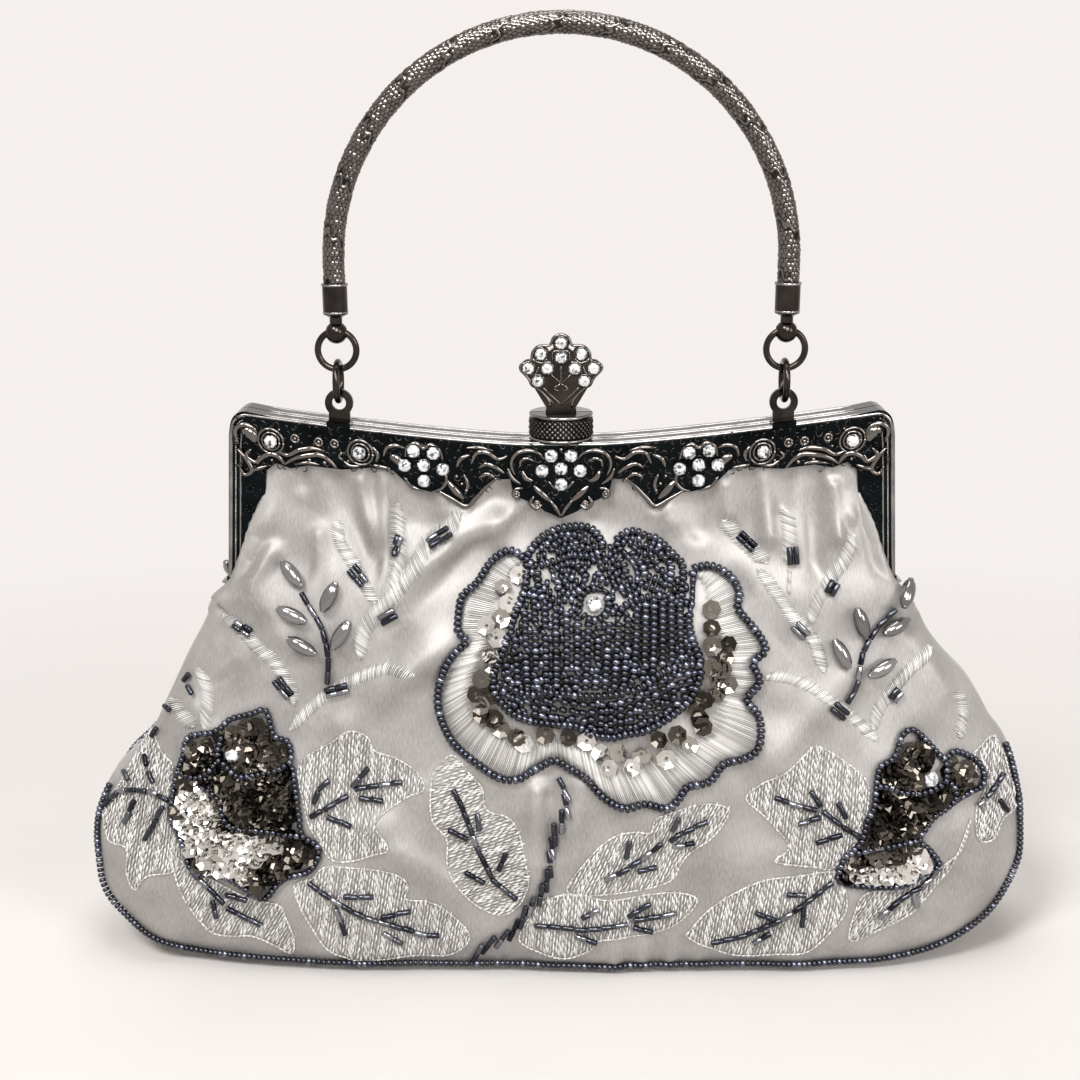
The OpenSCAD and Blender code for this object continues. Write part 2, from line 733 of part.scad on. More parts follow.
// A low relief over the fabric inside a star-shaped outline around a centre
module relief(outline, centre, thick, rounds) {
    function on(f, out) = [for (p = outline)
        let (x = centre[0] + f * (p[0] - centre[0]), z = centre[1] + f * (p[1] - centre[1]))
        [x, front_y(x, z) - out, z]];
    steps = [for (k = [0 : rounds]) 0.1 + 0.9 * k / rounds];
    under = [for (f = steps) on(f, relief_gap)];
    over = [for (k = [rounds : -1 : 0]) on(steps[k] * (k == rounds ? 0.98 : 1), relief_gap + thick)];
    skin(concat(under, over));
}

// The embroidery is drawn on a bag of these sizes, then stretched with the fabric:
// half widths at neck and belly, hinge height and lowest point of the scrollwork
drawn_neck = 96.75;
drawn_belly = 135;
drawn_hinge_h = 99;
drawn_top = 127;
function motif_z(z) = z <= drawn_hinge_h
    ? z * hinge_h / drawn_hinge_h
    : hinge_h + (z - drawn_hinge_h) * (frame_mid_z - scroll_drop - hinge_h) / (drawn_top - drawn_hinge_h);
function motif_pt(p) =
    let (z = motif_z(p[1]), s = share(min(z, hinge_h), 1))
    [p[0] * half_w(min(z, hinge_h)) / (drawn_neck + (drawn_belly - drawn_neck) * s), z];
function motif(list) = [for (p = list) motif_pt(p)];

// Beaded relief over the fabric: a ribbed middle of bead strings, a low border of
// satin stitches and a raised string of beads for its rim. Rim and middle have a
// point for each other, and the points halfway between lie in the ribs' troughs
module beaded_relief(rim, middle, centre, over_fold) {
    count = len(rim);
    function fine(list) = [for (i = [0 : count - 1])
        each [list[i], (list[i] + list[(i + 1) % count]) / 2]];
    edge = fine(rim);
    core = fine(middle);
    trough = bead_t - rib_depth;
    border = stitch_t * 0.4;
    function at(p, out) = [p[0], (over_fold ? fold_y(p[0], p[1]) : front_y(p[0], p[1])) - relief_gap - out, p[1]];
    function core_ring(f, crest, low) = [for (i = [0 : 2 * count - 1])
        at(centre + f * (core[i] - centre), i % 2 == 0 ? crest : low)];
    function rim_ring(f, out) = [for (i = [0 : 2 * count - 1])
        at(core[i] + f * (edge[i] - core[i]), norm(edge[i] - core[i]) < bead_t * 2 ? max(out, trough) : out)];
    under = [core_ring(0.12, 0, 0), core_ring(1, 0, 0), [for (i = [0 : 2 * count - 1]) at(edge[i], 0)]];
    over = [rim_ring(0.97, bead_t * 0.9), rim_ring(0.88, bead_t * 0.9), rim_ring(0.84, border),
            rim_ring(0.45, border), rim_ring(0.06, border), core_ring(1, bead_t * 0.9, trough),
            core_ring(0.62, bead_t, trough), core_ring(0.3, bead_t, trough), core_ring(0.12, trough, trough)];
    skin(concat(under, over));
}

// Where the satin folds over above the hinge, the embroidery leans in with it
fold_lean = 0.06;
function fold_y(x, z) = z <= rim_z ? pouch_y(x, z) : pouch_y(x, rim_z) + (z - rim_z) * fold_lean;

// The flower as far up as the fold: points of its wavy rim with those of its beaded middle
FLOWER_C = [10, 84];
FLOWER = [
    [[-27, 104], [-12.5, 104]], [[-28, 99], [-14.5, 98.5]], [[-29, 93], [-16, 93.5]], [[-33, 86], [-18, 88]],
    [[-34, 79], [-18.5, 83]], [[-32.5, 71], [-17, 79]], [[-28.5, 65], [-13.5, 75.5]], [[-22.5, 61], [-9.5, 73.5]],
    [[-15, 57], [-5, 72.5]], [[-9, 58], [-1, 72]], [[-2, 61.5], [3, 71.5]], [[3, 59.5], [6, 70.5]],
    [[9, 55], [9.5, 69]], [[15, 50.5], [13, 68.5]], [[21, 50], [16.5, 69]], [[27, 49.5], [20, 70]],
    [[33, 52], [23.5, 71]], [[38, 56], [26.5, 72.5]], [[43.5, 59.5], [29, 74]], [[49, 62.5], [31.5, 75.5]],
    [[54, 66], [34, 78]], [[54.5, 72], [36.5, 81.5]], [[51.5, 79], [38, 85]], [[54, 85], [38, 88.5]],
    [[55.5, 92], [37, 92.5]], [[52.5, 98.5], [35.5, 98]], [[49, 104], [35.5, 104]], [[26, 103.8], [26, 103]],
    [[18, 103.8], [18, 103]], [[10, 103.8], [10, 103]], [[2, 103.8], [2, 103]], [[-6, 103.8], [-6, 103]]
];
// Part of the flower that rises over the fold onto the upper panel
FLOWER_TOP_C = [10, 112];
FLOWER_TOP = [
    [-23.5, 108.5], [-12, 108], [0, 108], [12, 108], [24, 108], [36, 108], [48.5, 108.5], [46.5, 111.5],
    [41.5, 114], [36.5, 114], [33, 115.5], [29.5, 118.5], [26, 121], [21.5, 123], [17, 121.5], [14, 119.5],
    [11, 121], [8, 123.5], [4, 124.5], [-1, 124], [-5, 121.5], [-8, 118.5], [-9.5, 117], [-14.5, 117.5],
    [-19.5, 114]
];

module flower_low() {
    color("#2b2e44") beaded_relief(
        motif([for (p = FLOWER) p[0]]), motif([for (p = FLOWER) p[1]]), motif_pt(FLOWER_C), true);
}

module flower_high() {
    rim = motif(FLOWER_TOP);
    centre = motif_pt(FLOWER_TOP_C);
    color("#2b2e44") beaded_relief(rim, [for (p = rim) centre + 0.94 * (p - centre)], centre, false);
}

// Leaf outlines: foot, tip and half width
LEAVES = [
    [[-31, 54], [-12, 22], 8], [[10, 27], [40, 44], 7], [[-8, 13], [33, 18], 6],
    [[-70, 23], [-34, 10], 7], [[42, 10], [80, 25], 7], [[-66, 45], [-42, 56], 9],
    [[57, 52], [79, 43], 9], [[-108, 22], [-86, 13], 5], [[87, 13], [108, 20], 5]
];
module leaf(foot, tip, half) {
    mid = (foot + tip) / 2;
    along = unit(tip - foot);
    side = [-along[1], along[0]];
    long = norm(tip - foot) / 2;
    outline = [for (k = [0 : 15])
        let (a = 360 * k / 16) mid + along * long * cos(a)
            + side * half * signed_pow(sin(a), 1.2)];
    relief(outline, mid, stitch_t * 0.5, 3);
}

module leaves() {
    color("#dad6ce") for (l = LEAVES) leaf(motif_pt(l[0]), motif_pt(l[1]), l[2]);
}

BUD_LEFT = [[-109, 60], [-107, 40], [-97, 27], [-84, 24], [-72, 30], [-67, 37], [-72, 50], [-77, 62],
    [-84, 73], [-96, 71]];
BUD_RIGHT = [[81, 42], [92, 30], [103, 26], [114, 34], [118, 46], [118, 57], [110, 66], [101, 69],
    [90, 65], [84, 53]];
BUD_LEFT_C = [-88, 48];
BUD_RIGHT_C = [101, 48];
module buds() {
    color("#4a4a52") {
        relief(motif(BUD_LEFT), motif_pt(BUD_LEFT_C), stitch_t, 5);
        relief(motif(BUD_RIGHT), motif_pt(BUD_RIGHT_C), stitch_t, 5);
    }
}

// Course of the stem, from the flower down to the base
STEM = motif([[0, 55], [1, 49], [-1, 42], [-4, 33], [-6, 25], [-10, 18], [-15, 12], [-21, 7]]);
module bugle(p, angle) {
    translate([p[0], front_y(p[0], p[1]) - relief_gap - bugle_r, p[1]])
        rotate([0, 90 - angle, 0]) cylinder(r = bugle_r, h = bugle_l, center = true, $fn = 16);
}

module stem_bugles() {
    color("#23263a") for (i = [0 : len(STEM) - 2])
        let (d = STEM[i + 1] - STEM[i], a = atan2(d[1], d[0]))
            for (f = [0.25, 0.75])
                bugle(STEM[i] + d * f + [f * 1.6 - 0.8, 0] * 1.4, a - 14 + 180);
}

// Pearl sprigs: middle of each pearl and the way it points
PEARLS = [[-71, 92.5, 160], [-61.5, 91, 55], [77, 90, 125], [87.5, 87, 15], [90, 95.5, 30]];
module rice_pearl(p, angle) {
    translate([p[0], front_y(p[0], p[1]) - relief_gap - pearl_r - 0.1, p[1]])
        rotate([0, 90 - angle, 0]) rotate_extrude($fn = 24)
            polygon([for (a = [-90 : 18 : 90])
                [pearl_r * cos(a) * (abs(a) == 90 ? 0 : 1), pearl_l / 2 * sin(a)]]);
}

module pearl_sprigs() {
    color("#b9b7b5") for (p = PEARLS) rice_pearl(motif_pt(p), p[2]);
}

CRYSTALS = motif([[-92, 62], [104, 57]]);
module crystals() {
    crystal_r = 2;
    color("#e8eef2") for (p = CRYSTALS)
        translate([p[0], front_y(p[0], p[1]) - relief_gap - stitch_t - 0.8, p[1]])
            rotate([90, 0, 0]) stone(crystal_r, stone_h);
}

module to_rear() {
    rotate([0, 0, 180]) children();
}

module front_flower_beads() { flower_low(); }
module front_flower_top() { flower_high(); }
module front_buds() { buds(); }
module front_leaves() { leaves(); }
module front_stem_bugles() { stem_bugles(); }
module front_pearl_sprigs() { pearl_sprigs(); }
module front_crystals() { crystals(); }
module rear_flower_beads() { to_rear() flower_low(); }
module rear_flower_top() { to_rear() flower_high(); }
module rear_buds() { to_rear() buds(); }
module rear_leaves() { to_rear() leaves(); }
module rear_stem_bugles() { to_rear() stem_bugles(); }
module rear_pearl_sprigs() { to_rear() pearl_sprigs(); }
module rear_crystals() { to_rear() crystals(); }

front_frame();
rear_frame();
hinge_rivet_left();
hinge_rivet_right();
front_filigree();
frame_stones();
front_channel_cord();
rear_channel_cord();
clasp_front_drum();
clasp_rear_drum();
clasp_fan_lever();
clasp_fan_stones();
clasp_pin();
clasp_spring();
handle_tab_left();
handle_tab_right();
lower_ring_left();
lower_ring_right();
upper_ring_left();
upper_ring_right();
handle_ferrule_left();
handle_ferrule_right();
handle_core();
handle_cover();
pouch_shell();
pouch_wadding();
pouch_lining();
base_board();
inner_pocket();
front_panel();
rear_panel();
front_panel_lining();
rear_panel_lining();
front_edge_beads();
rear_edge_beads();
front_flower_beads();
front_flower_top();
front_buds();
front_leaves();
front_stem_bugles();
front_pearl_sprigs();
front_crystals();
rear_flower_beads();
rear_flower_top();
rear_buds();
rear_leaves();
rear_stem_bugles();
rear_pearl_sprigs();
rear_crystals();
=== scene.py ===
"""Looks of a framed evening bag: gathered satin, bead and thread embroidery and a
black nickel frame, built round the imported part. Sizes are in millimetres and turned
into metres where a mesh is made. Front is -Y, as in the part."""
import math

import bmesh
import bpy
import numpy as np
from mathutils import Matrix, Vector
from mathutils.bvhtree import BVHTree


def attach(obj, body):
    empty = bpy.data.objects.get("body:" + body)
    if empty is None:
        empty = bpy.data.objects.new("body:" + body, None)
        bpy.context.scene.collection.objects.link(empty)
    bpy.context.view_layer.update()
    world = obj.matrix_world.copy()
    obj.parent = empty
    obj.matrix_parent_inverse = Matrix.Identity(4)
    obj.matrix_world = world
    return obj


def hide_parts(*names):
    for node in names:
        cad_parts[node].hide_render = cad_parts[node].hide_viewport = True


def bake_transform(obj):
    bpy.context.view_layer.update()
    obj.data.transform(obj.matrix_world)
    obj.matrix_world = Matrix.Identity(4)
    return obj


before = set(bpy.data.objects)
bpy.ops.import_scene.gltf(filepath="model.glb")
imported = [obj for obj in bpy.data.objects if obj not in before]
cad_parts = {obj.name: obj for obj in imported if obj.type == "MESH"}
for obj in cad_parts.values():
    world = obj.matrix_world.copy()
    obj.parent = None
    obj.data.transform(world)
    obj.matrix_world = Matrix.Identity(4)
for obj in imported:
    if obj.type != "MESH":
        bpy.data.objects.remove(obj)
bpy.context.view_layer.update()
MM = 0.001
FRONT = -1  # the way each side faces along Y
REAR = 1
SIDE_NAME = {FRONT: "front", REAR: "rear"}

# ---- sizes shared with the part ----
FRAME_H = 157.0  # top of the frame at its corners
FRAME_DIP = 9.0  # how far its top edge dips in the middle
HALF_TOP = 90.0  # half width at the top
FLAT_HALF = 10.0  # half width of its level stretch in the middle
LEG_FLARE = 3.5  # how much further out the legs stand at the hinges
LEG_W = 9.5
BAR_H = 9.0
CORNER_R = 4.0
HINGE_H = 99.0
RIM_Z = 98.0  # where the pouch ends and the upper panels begin
FACE_Y = 6.3  # outer face of each half frame
Y_SEAM = 0.3  # half the gap between the half frames
Y_MID = 3.3  # middle of the front half frame, which carries the handle
PLATE_Y = 7.1  # face of the scrollwork plate
SETTING_Y = 7.9  # face of its stone settings
CHAIN_X = 60.5  # the handle's chains, left and right
ARCH_R = 60.5
ARCH_Z = 196.6  # where the handle's arch begins
TUBE_R = 2.9
FERRULE_Z = 182.9  # foot of the handle's ferrules
FERRULE_TOP = 191.1
DRUM_R = 8.5  # clasp housing
FAN_Z = 157.0  # height from which the fan's ornament is drawn
FAN_Y = 2.4  # its face
BUGLE_L = 3.6
BUGLE_R = 0.8
PEARL_L = 9.0
PEARL_R = 2.1
SEQUIN_R = 2.9
CLOTH_T = 0.5


def top_z(x):
    """Height of the frame's top edge at x."""
    share = np.clip((np.minimum(np.abs(x), HALF_TOP) - FLAT_HALF) / (HALF_TOP - FLAT_HALF), 0, None)
    return FRAME_H - FRAME_DIP * (1 - share ** 1.3)


def leg_x(z):
    """Outer edge of a leg at height z."""
    return HALF_TOP + LEG_FLARE * (FRAME_H - z) / (FRAME_H - HINGE_H)


# ---- small helpers ----

def linear(code):
    """An sRGB hex value as linear RGBA."""
    parts = [int(code[i:i + 2], 16) / 255 for i in (1, 3, 5)]
    return [c / 12.92 if c <= 0.04045 else ((c + 0.055) / 1.055) ** 2.4 for c in parts] + [1.0]


def smooth(t):
    """0 to 1 with soft ends."""
    t = np.clip(t, 0, 1)
    return t * t * (3 - 2 * t)


def flow(keys, at):
    """A smooth curve through key points, without overshoot, read at given places."""
    x, y = np.array(keys, float).T
    step = np.diff(x)
    slope = np.diff(y) / step
    both = slope[:-1] * slope[1:]
    inner = np.where(both > 0, 2 * both / (slope[:-1] + slope[1:] + 1e-12), 0)
    tangent = np.concatenate([[slope[0]], inner, [slope[-1]]])
    at = np.clip(at, x[0], x[-1])
    i = np.clip(np.searchsorted(x, at) - 1, 0, len(step) - 1)
    t = (at - x[i]) / step[i]
    return ((2 * t ** 3 - 3 * t ** 2 + 1) * y[i] + (t ** 3 - 2 * t ** 2 + t) * step[i] * tangent[i]
            + (3 * t ** 2 - 2 * t ** 3) * y[i + 1] + (t ** 3 - t ** 2) * step[i] * tangent[i + 1])


def unit(v):
    """Vectors brought to length one."""
    v = np.asarray(v, float)
    return v / np.maximum(np.linalg.norm(v, axis=-1, keepdims=True), 1e-9)


def spaced(path, step=None, count=None):
    """Points at equal distances along a path."""
    path = np.asarray(path, float)
    length = np.concatenate([[0], np.cumsum(np.linalg.norm(np.diff(path, axis=0), axis=1))])
    count = count or max(2, int(round(length[-1] / step)) + 1)
    at = np.linspace(0, length[-1], count)
    return np.stack([np.interp(at, length, path[:, k]) for k in range(path.shape[1])], axis=1)


def joined(*columns):
    """Coordinates side by side as points; a single number serves for all of them."""
    return np.stack(np.broadcast_arrays(*columns), axis=1)


def circle(x, z, radius, count):
    """A closed round line of points."""
    turns = np.linspace(0, 2 * math.pi, count)
    return joined(x + radius * np.cos(turns), z + radius * np.sin(turns))


def angles(sides):
    """Equal steps once round."""
    return np.linspace(0, 2 * math.pi, sides, endpoint=False)


def curve(points, closed=False, step=0.8):
    """A smooth line through points, as points a step apart."""
    p = np.asarray(points, float)
    if closed:
        p = np.vstack([p[-1], p, p[0], p[1]])
    else:
        p = np.vstack([2 * p[0] - p[1], p, 2 * p[-1] - p[-2]])
    out = []
    for a, b, c, d in zip(p[:-3], p[1:-2], p[2:-1], p[3:]):
        for t in np.linspace(0, 1, 8, endpoint=False):
            out.append(0.5 * (2 * b + (c - a) * t + (2 * a - 5 * b + 4 * c - d) * t ** 2
                              + (3 * b - a - 3 * c + d) * t ** 3))
    out.append(p[-2])
    return spaced(out, step)


def inside(polygon, points):
    """Which points lie in a polygon."""
    a = np.asarray(polygon, float)
    b = np.roll(a, -1, axis=0)
    pts = np.asarray(points, float)
    x = pts[:, None, 0]
    z = pts[:, None, 1]
    span = (a[:, 1] > z) != (b[:, 1] > z)
    cross = a[:, 0] + (z - a[:, 1]) * (b[:, 0] - a[:, 0]) / (b[:, 1] - a[:, 1] + 1e-12)
    return (span & (x < cross)).sum(1) % 2 == 1


def distance(polygon, points):
    """Distance of points from a closed outline."""
    a = np.asarray(polygon, float)
    d = np.roll(a, -1, axis=0) - a
    pts = np.asarray(points, float)
    t = np.clip(((pts[:, None] - a) * d).sum(2) / ((d * d).sum(1) + 1e-12), 0, 1)
    return np.linalg.norm(pts[:, None] - a - t[..., None] * d, axis=2).min(1)


def placed(name, data):
    """A new object in the scene."""
    made = bpy.data.objects.new(name, data)
    bpy.context.scene.collection.objects.link(made)
    return made


def mesh_piece(name, points, faces, material=None, edges=(), shade=True):
    """A mesh object from points in millimetres."""
    mesh = bpy.data.meshes.new(name)
    mesh.from_pydata((np.asarray(points, float) * MM).tolist(), list(edges), [list(f) for f in faces])
    if material:
        mesh.materials.append(material)
    if shade and len(faces):
        mesh.shade_smooth()
    mesh.update()
    return placed(name, mesh)


def mark(piece, name, values, kind="FLOAT"):
    """Stores numbers on the points of a piece."""
    attribute = piece.data.attributes.new(name, kind, "POINT")
    key = "vector" if kind == "FLOAT_VECTOR" else "value"
    attribute.data.foreach_set(key, np.asarray(values, np.float32).ravel())


def tidy(piece, reach=0.01, outwards=True):
    """Merges points within reach of each other and turns the faces outwards."""
    bm = bmesh.new()
    bm.from_mesh(piece.data)
    if reach:
        bmesh.ops.remove_doubles(bm, verts=bm.verts, dist=reach * MM)
        bmesh.ops.dissolve_degenerate(bm, edges=bm.edges, dist=reach * MM)
    if outwards:
        bmesh.ops.recalc_face_normals(bm, faces=bm.faces)
    bm.to_mesh(piece.data)
    bm.free()
    return piece


def pile(parts):
    """Several (points, faces) as one."""
    points = []
    faces = []
    count = 0
    for p, f in parts:
        points.append(np.asarray(p, float))
        faces += [[i + count for i in face] for face in f]
        count += len(p)
    return np.vstack(points), faces


def grid_faces(rows, cols, around=False, turned=False):
    """Quads over a grid of points; around joins the last column to the first."""
    faces = []
    for i in range(rows - 1):
        for j in range(cols if around else cols - 1):
            a, b = i * cols + j, i * cols + (j + 1) % cols
            quad = (a, b, b + cols, a + cols)
            faces.append(quad[::-1] if turned else quad)
    return faces


def ring_points(profile, sides):
    """Rings of points round Z from (radius, height) pairs."""
    return np.array([(r * math.cos(a), r * math.sin(a), h) for r, h in profile
                     for a in angles(sides)])


def tube_faces(rings, sides):
    """Faces round a row of rings, closed at both ends."""
    faces = grid_faces(rings, sides, around=True)
    return faces + [tuple(range(sides))[::-1], tuple(range((rings - 1) * sides, rings * sides))]


def swept(path, section, out, wide, high):
    """A closed strip along a path: section holds (sideways, outwards) points, out says outwards."""
    path = np.asarray(path, float)
    n = len(path)
    m = len(section)
    along = unit(np.gradient(path, axis=0))
    out = np.broadcast_to(np.asarray(out, float), path.shape)
    side = unit(np.cross(along, out))
    wide, high = (np.broadcast_to(v, n)[:, None] for v in (wide, high))
    rings = [path + side * wide * a + out * high * b for a, b in section]
    points = np.stack(rings, axis=1).reshape(-1, 3)
    return points, tube_faces(n, m)


# ---- materials ----

def node(tree, kind, inputs=None, **settings):
    """Adds a node with its settings; an input takes a number or another node's output."""
    made = tree.nodes.new(kind)
    for key, value in settings.items():
        setattr(made, key, value)
    for key, value in (inputs or {}).items():
        if isinstance(value, bpy.types.NodeSocket):
            tree.links.new(value, made.inputs[key])
        else:
            made.inputs[key].default_value = value
    return made


def surface(name, **sockets):
    """A material and its shader, with the uniform values set on the shader's own sockets."""
    material = bpy.data.materials.new(name)
    material.use_nodes = True
    shader = material.node_tree.nodes["Principled BSDF"]
    for key, value in sockets.items():
        shader.inputs[key.replace("_", " ")].default_value = value
    return material, material.node_tree, shader


def per_metre(size):
    """Texture scale for a pattern of a size in millimetres."""
    return 1000.0 / size


def shade_of(tree, shader, amount, colours, places=None):
    """Drives the base colour through a ramp of hex colours."""
    ramp = node(tree, "ShaderNodeValToRGB", {"Fac": amount})
    places = places or np.linspace(0, 1, len(colours))
    while len(ramp.color_ramp.elements) < len(colours):
        ramp.color_ramp.elements.new(0.5)
    for stop, place, colour in zip(ramp.color_ramp.elements, places, colours):
        stop.position = place
        stop.color = linear(colour)
    tree.links.new(ramp.outputs["Color"], shader.inputs["Base Color"])


# Marks that tumbling leaves in plated metal, drawn coarse enough to show
POLISH_GRAIN = 0.35
POLISH_DEPTH = 0.012


def reckon(tree, operation, a, b):
    """The result of one sum on sockets or numbers."""
    return node(tree, "ShaderNodeMath", {0: a, 1: b}, operation=operation).outputs[0]


def noise(tree, place, size, detail, roughness=0.5):
    """Cloudy texture with spots of a size in millimetres."""
    return node(tree, "ShaderNodeTexNoise", {
        "Vector": place, "Scale": per_metre(size), "Detail": detail, "Roughness": roughness}).outputs["Fac"]


def object_place(tree):
    """Places on the piece, in metres."""
    return node(tree, "ShaderNodeTexCoord").outputs["Object"]


def roughen(tree, shader, value, low, high, first=0.0, last=1.0):
    """Lets the roughness run from low to high as the value goes from first to last."""
    spread = node(tree, "ShaderNodeMapRange",
                  {"Value": value, "From Min": first, "From Max": last, "To Min": low, "To Max": high})
    tree.links.new(spread.outputs["Result"], shader.inputs["Roughness"])


def emboss(tree, shader, height, strength, depth):
    """Fine relief that catches the light; depth in millimetres."""
    bump = node(tree, "ShaderNodeBump", {"Height": height, "Strength": strength, "Distance": depth * MM})
    tree.links.new(bump.outputs["Normal"], shader.inputs["Normal"])


def satin_weave(name, dark, light, metallic, roughness, twill, depth, cut=True):
    """Polyester satin: long floats over a fine twill give a soft metallic sheen across the folds."""
    material, tree, shader = surface(
        name, Metallic=metallic, Sheen_Weight=0.25, Sheen_Roughness=0.4, Anisotropic=0.45,
        Sheen_Tint=linear("#F2EFEA"))
    if cut:
        place = node(tree, "ShaderNodeUVMap", uv_map="cloth").outputs["UV"]
    else:
        place = object_place(tree)
    # The floats lie aslant and are drawn out along their length
    slant = node(tree, "ShaderNodeMapping",
                 {"Vector": place, "Rotation": (0, 0, math.radians(52)), "Scale": (1.0, 0.22, 1.0)})
    weave = noise(tree, slant.outputs["Vector"], twill, 3.0, 0.6)
    slub = noise(tree, place, 16.0, 2.0)
    mixed = reckon(tree, "ADD", weave, slub)
    half = reckon(tree, "MULTIPLY", mixed, 0.5)
    shade_of(tree, shader, half, [dark, light], [0.36, 0.64])
    roughen(tree, shader, weave, roughness - 0.06, roughness + 0.08)
    emboss(tree, shader, weave, 0.35, depth)
    return material


def plated(name, dark, light, roughness, relief=False):
    """Plated metal, tumbled and polished; with relief, painted shade darkens its recesses and its crests are
    painted pale, part wear and part painted highlight.
    """
    material, tree, shader = surface(name, Metallic=1.0)
    place = object_place(tree)
    amount = noise(tree, place, 5.0, 4.0)
    fine = noise(tree, place, POLISH_GRAIN, 2.0)
    spread = 0.1
    if relief:
        # The relief height sets the colour: painted shade low down, wear and painted highlight up on the
        # crests
        height = node(tree, "ShaderNodeAttribute", attribute_name="relief").outputs["Fac"]
        amount = reckon(tree, "ADD", height, reckon(tree, "MULTIPLY", amount, 0.25))
        spread = -0.28
    shade_of(tree, shader, amount, [dark, light], [0.25, 0.85])
    roughen(tree, shader, amount, roughness - spread / 2, roughness + spread / 2, 0.2, 0.9)
    emboss(tree, shader, fine, 0.3, POLISH_DEPTH)
    return material


def toned(name, colours, rough_low, rough_high, **sockets):
    """A finish for many small pieces, each with its own tone and a little haze."""
    material, tree, shader = surface(name, **sockets)
    tone = node(tree, "ShaderNodeAttribute", attribute_name="tone")
    haze = noise(tree, object_place(tree), 1.2, 2.0)
    shade_of(tree, shader, tone.outputs["Fac"], colours)
    roughen(tree, shader, haze, rough_low, rough_high)
    return material


def glass_with_painted_sparkle(name, colours, size):
    """Cut glass on foil, with small clear and dark patches painted into its colour as the reflections of its
    facets.
    """
    material, tree, shader = surface(name, Metallic=0.3, Coat_Weight=1.0, Coat_Roughness=0.03)
    patch = node(tree, "ShaderNodeTexVoronoi", {"Vector": object_place(tree), "Scale": per_metre(size)})
    share = node(tree, "ShaderNodeSeparateColor", {"Color": patch.outputs["Color"]})
    shade_of(tree, shader, share.outputs["Red"], colours, [0.1, 0.24, 0.45, 0.7])
    roughen(tree, shader, share.outputs["Green"], 0.05, 0.2)
    return material


def fibre(name, dark, light, size, depth, rough):
    """Plain fibrous stuff: wadding, board or paper cord."""
    material, tree, shader = surface(name, Sheen_Weight=0.1)
    fuzz = noise(tree, object_place(tree), size, 6.0, 0.7)
    shade_of(tree, shader, fuzz, [dark, light], [0.3, 0.7])
    roughen(tree, shader, fuzz, rough - 0.1, rough + 0.1)
    emboss(tree, shader, fuzz, 0.6, depth)
    return material


# Long floats on the face: a soft metallic sheen that slides over the folds
SATIN_DARK = "#95918D"
SATIN_LIGHT = "#B7B3B0"
SATIN = satin_weave("woven_polyester_satin", SATIN_DARK, SATIN_LIGHT,
                    metallic=0.3, roughness=0.52, twill=0.45, depth=0.04)
SATIN_BODY = satin_weave("polyester_satin_on_the_solid", SATIN_DARK, SATIN_LIGHT,
                         metallic=0.3, roughness=0.52, twill=0.45, depth=0.04, cut=False)
# Lining twill: darker and without the sheen
LINING_DARK = "#8F8B87"
LINING_LIGHT = "#A9A5A0"
LINING = satin_weave("woven_lining_twill", LINING_DARK, LINING_LIGHT,
                     metallic=0.0, roughness=0.55, twill=0.9, depth=0.05)
LINING_BODY = satin_weave("lining_twill_on_the_solid", LINING_DARK, LINING_LIGHT,
                          metallic=0.0, roughness=0.55, twill=0.9, depth=0.05, cut=False)
# Dull fibres, felted, pressed or twisted
WADDING = fibre("needled_polyester_wadding", "#D8D4CC", "#F1EEE8", size=1.5, depth=0.4, rough=0.9)
BOARD = fibre("pressed_grey_board", "#7A6B55", "#9A8A70", size=0.6, depth=0.05, rough=0.85)
PAPER_CORD = fibre("twisted_paper_cord", "#8A7A62", "#B3A383", size=0.4, depth=0.1, rough=0.8)
# Brown-black plating of rings, tabs and ferrules, smooth enough to mirror the room
GUNMETAL = plated("gunmetal_plated_steel", "#26221F", "#46413D", roughness=0.18)
# Blue-black plating of the cast frame, deep and glossy
BLACK_NICKEL = plated("black_nickel_plated_zinc", "#0C0F11", "#1C2123", roughness=0.2)
# The fan's duller plate, against which its stones stand out
FAN_NICKEL = plated("matt_black_nickel_plate", "#2A2622", "#433E39", roughness=0.38)
# Black plating rubbed back to pale nickel on every crest, with painted shade in the recesses and painted
# highlight on the crests
NICKEL_WORN_WITH_PAINTED_SHADE = plated("rubbed_black_nickel_painted_shade", "#0C0B0A", "#6E6965", roughness=0.17, relief=True)
# Bright grey plating of rails, rims and the milled line
GREY_NICKEL = plated("polished_grey_nickel", "#6A6867", "#A19E9C", roughness=0.18)
STEEL = plated("rolled_spring_steel", "#8A8A8E", "#B4B4B8", roughness=0.3)
# Dark glass under a blue-violet metal skin: one small bright point on each bead
SEED_GLASS = toned("iris_plated_seed_glass", ["#12131D", "#1D1F2C", "#333647", "#161C28", "#6A6D7C"],
                   rough_low=0.12, rough_high=0.2, Metallic=0.95, Coat_Weight=0.8, Coat_Roughness=0.08)
# Square-cut tubes under a grey metal skin, with a bright line along each
BUGLE_GLASS = toned("gunmetal_plated_bugle_glass", ["#24252B", "#43454C", "#2F3138", "#8E8F94"],
                    rough_low=0.1, rough_high=0.2, Metallic=0.95)
# Film with a metal skin: each disc is a small mirror, dark or bright as it leans; its tones run from dark to
# bright, and the bright tones in a bud's glint zone are a painted highlight
SEQUIN_FOIL = toned("vacuum_plated_sequin_film", ["#0F0D0B", "#2B2723", "#544E47", "#9D9992", "#E2DFDB"],
                    rough_low=0.08, rough_high=0.18, Metallic=0.92)
# Off-white filament that shines along its length
RAYON = toned("spun_rayon_embroidery_thread", ["#B4B0AB", "#DEDBD7", "#FCFAF7"],
              rough_low=0.3, rough_high=0.45, Metallic=0.12, Sheen_Weight=0.4, Sheen_Roughness=0.35)
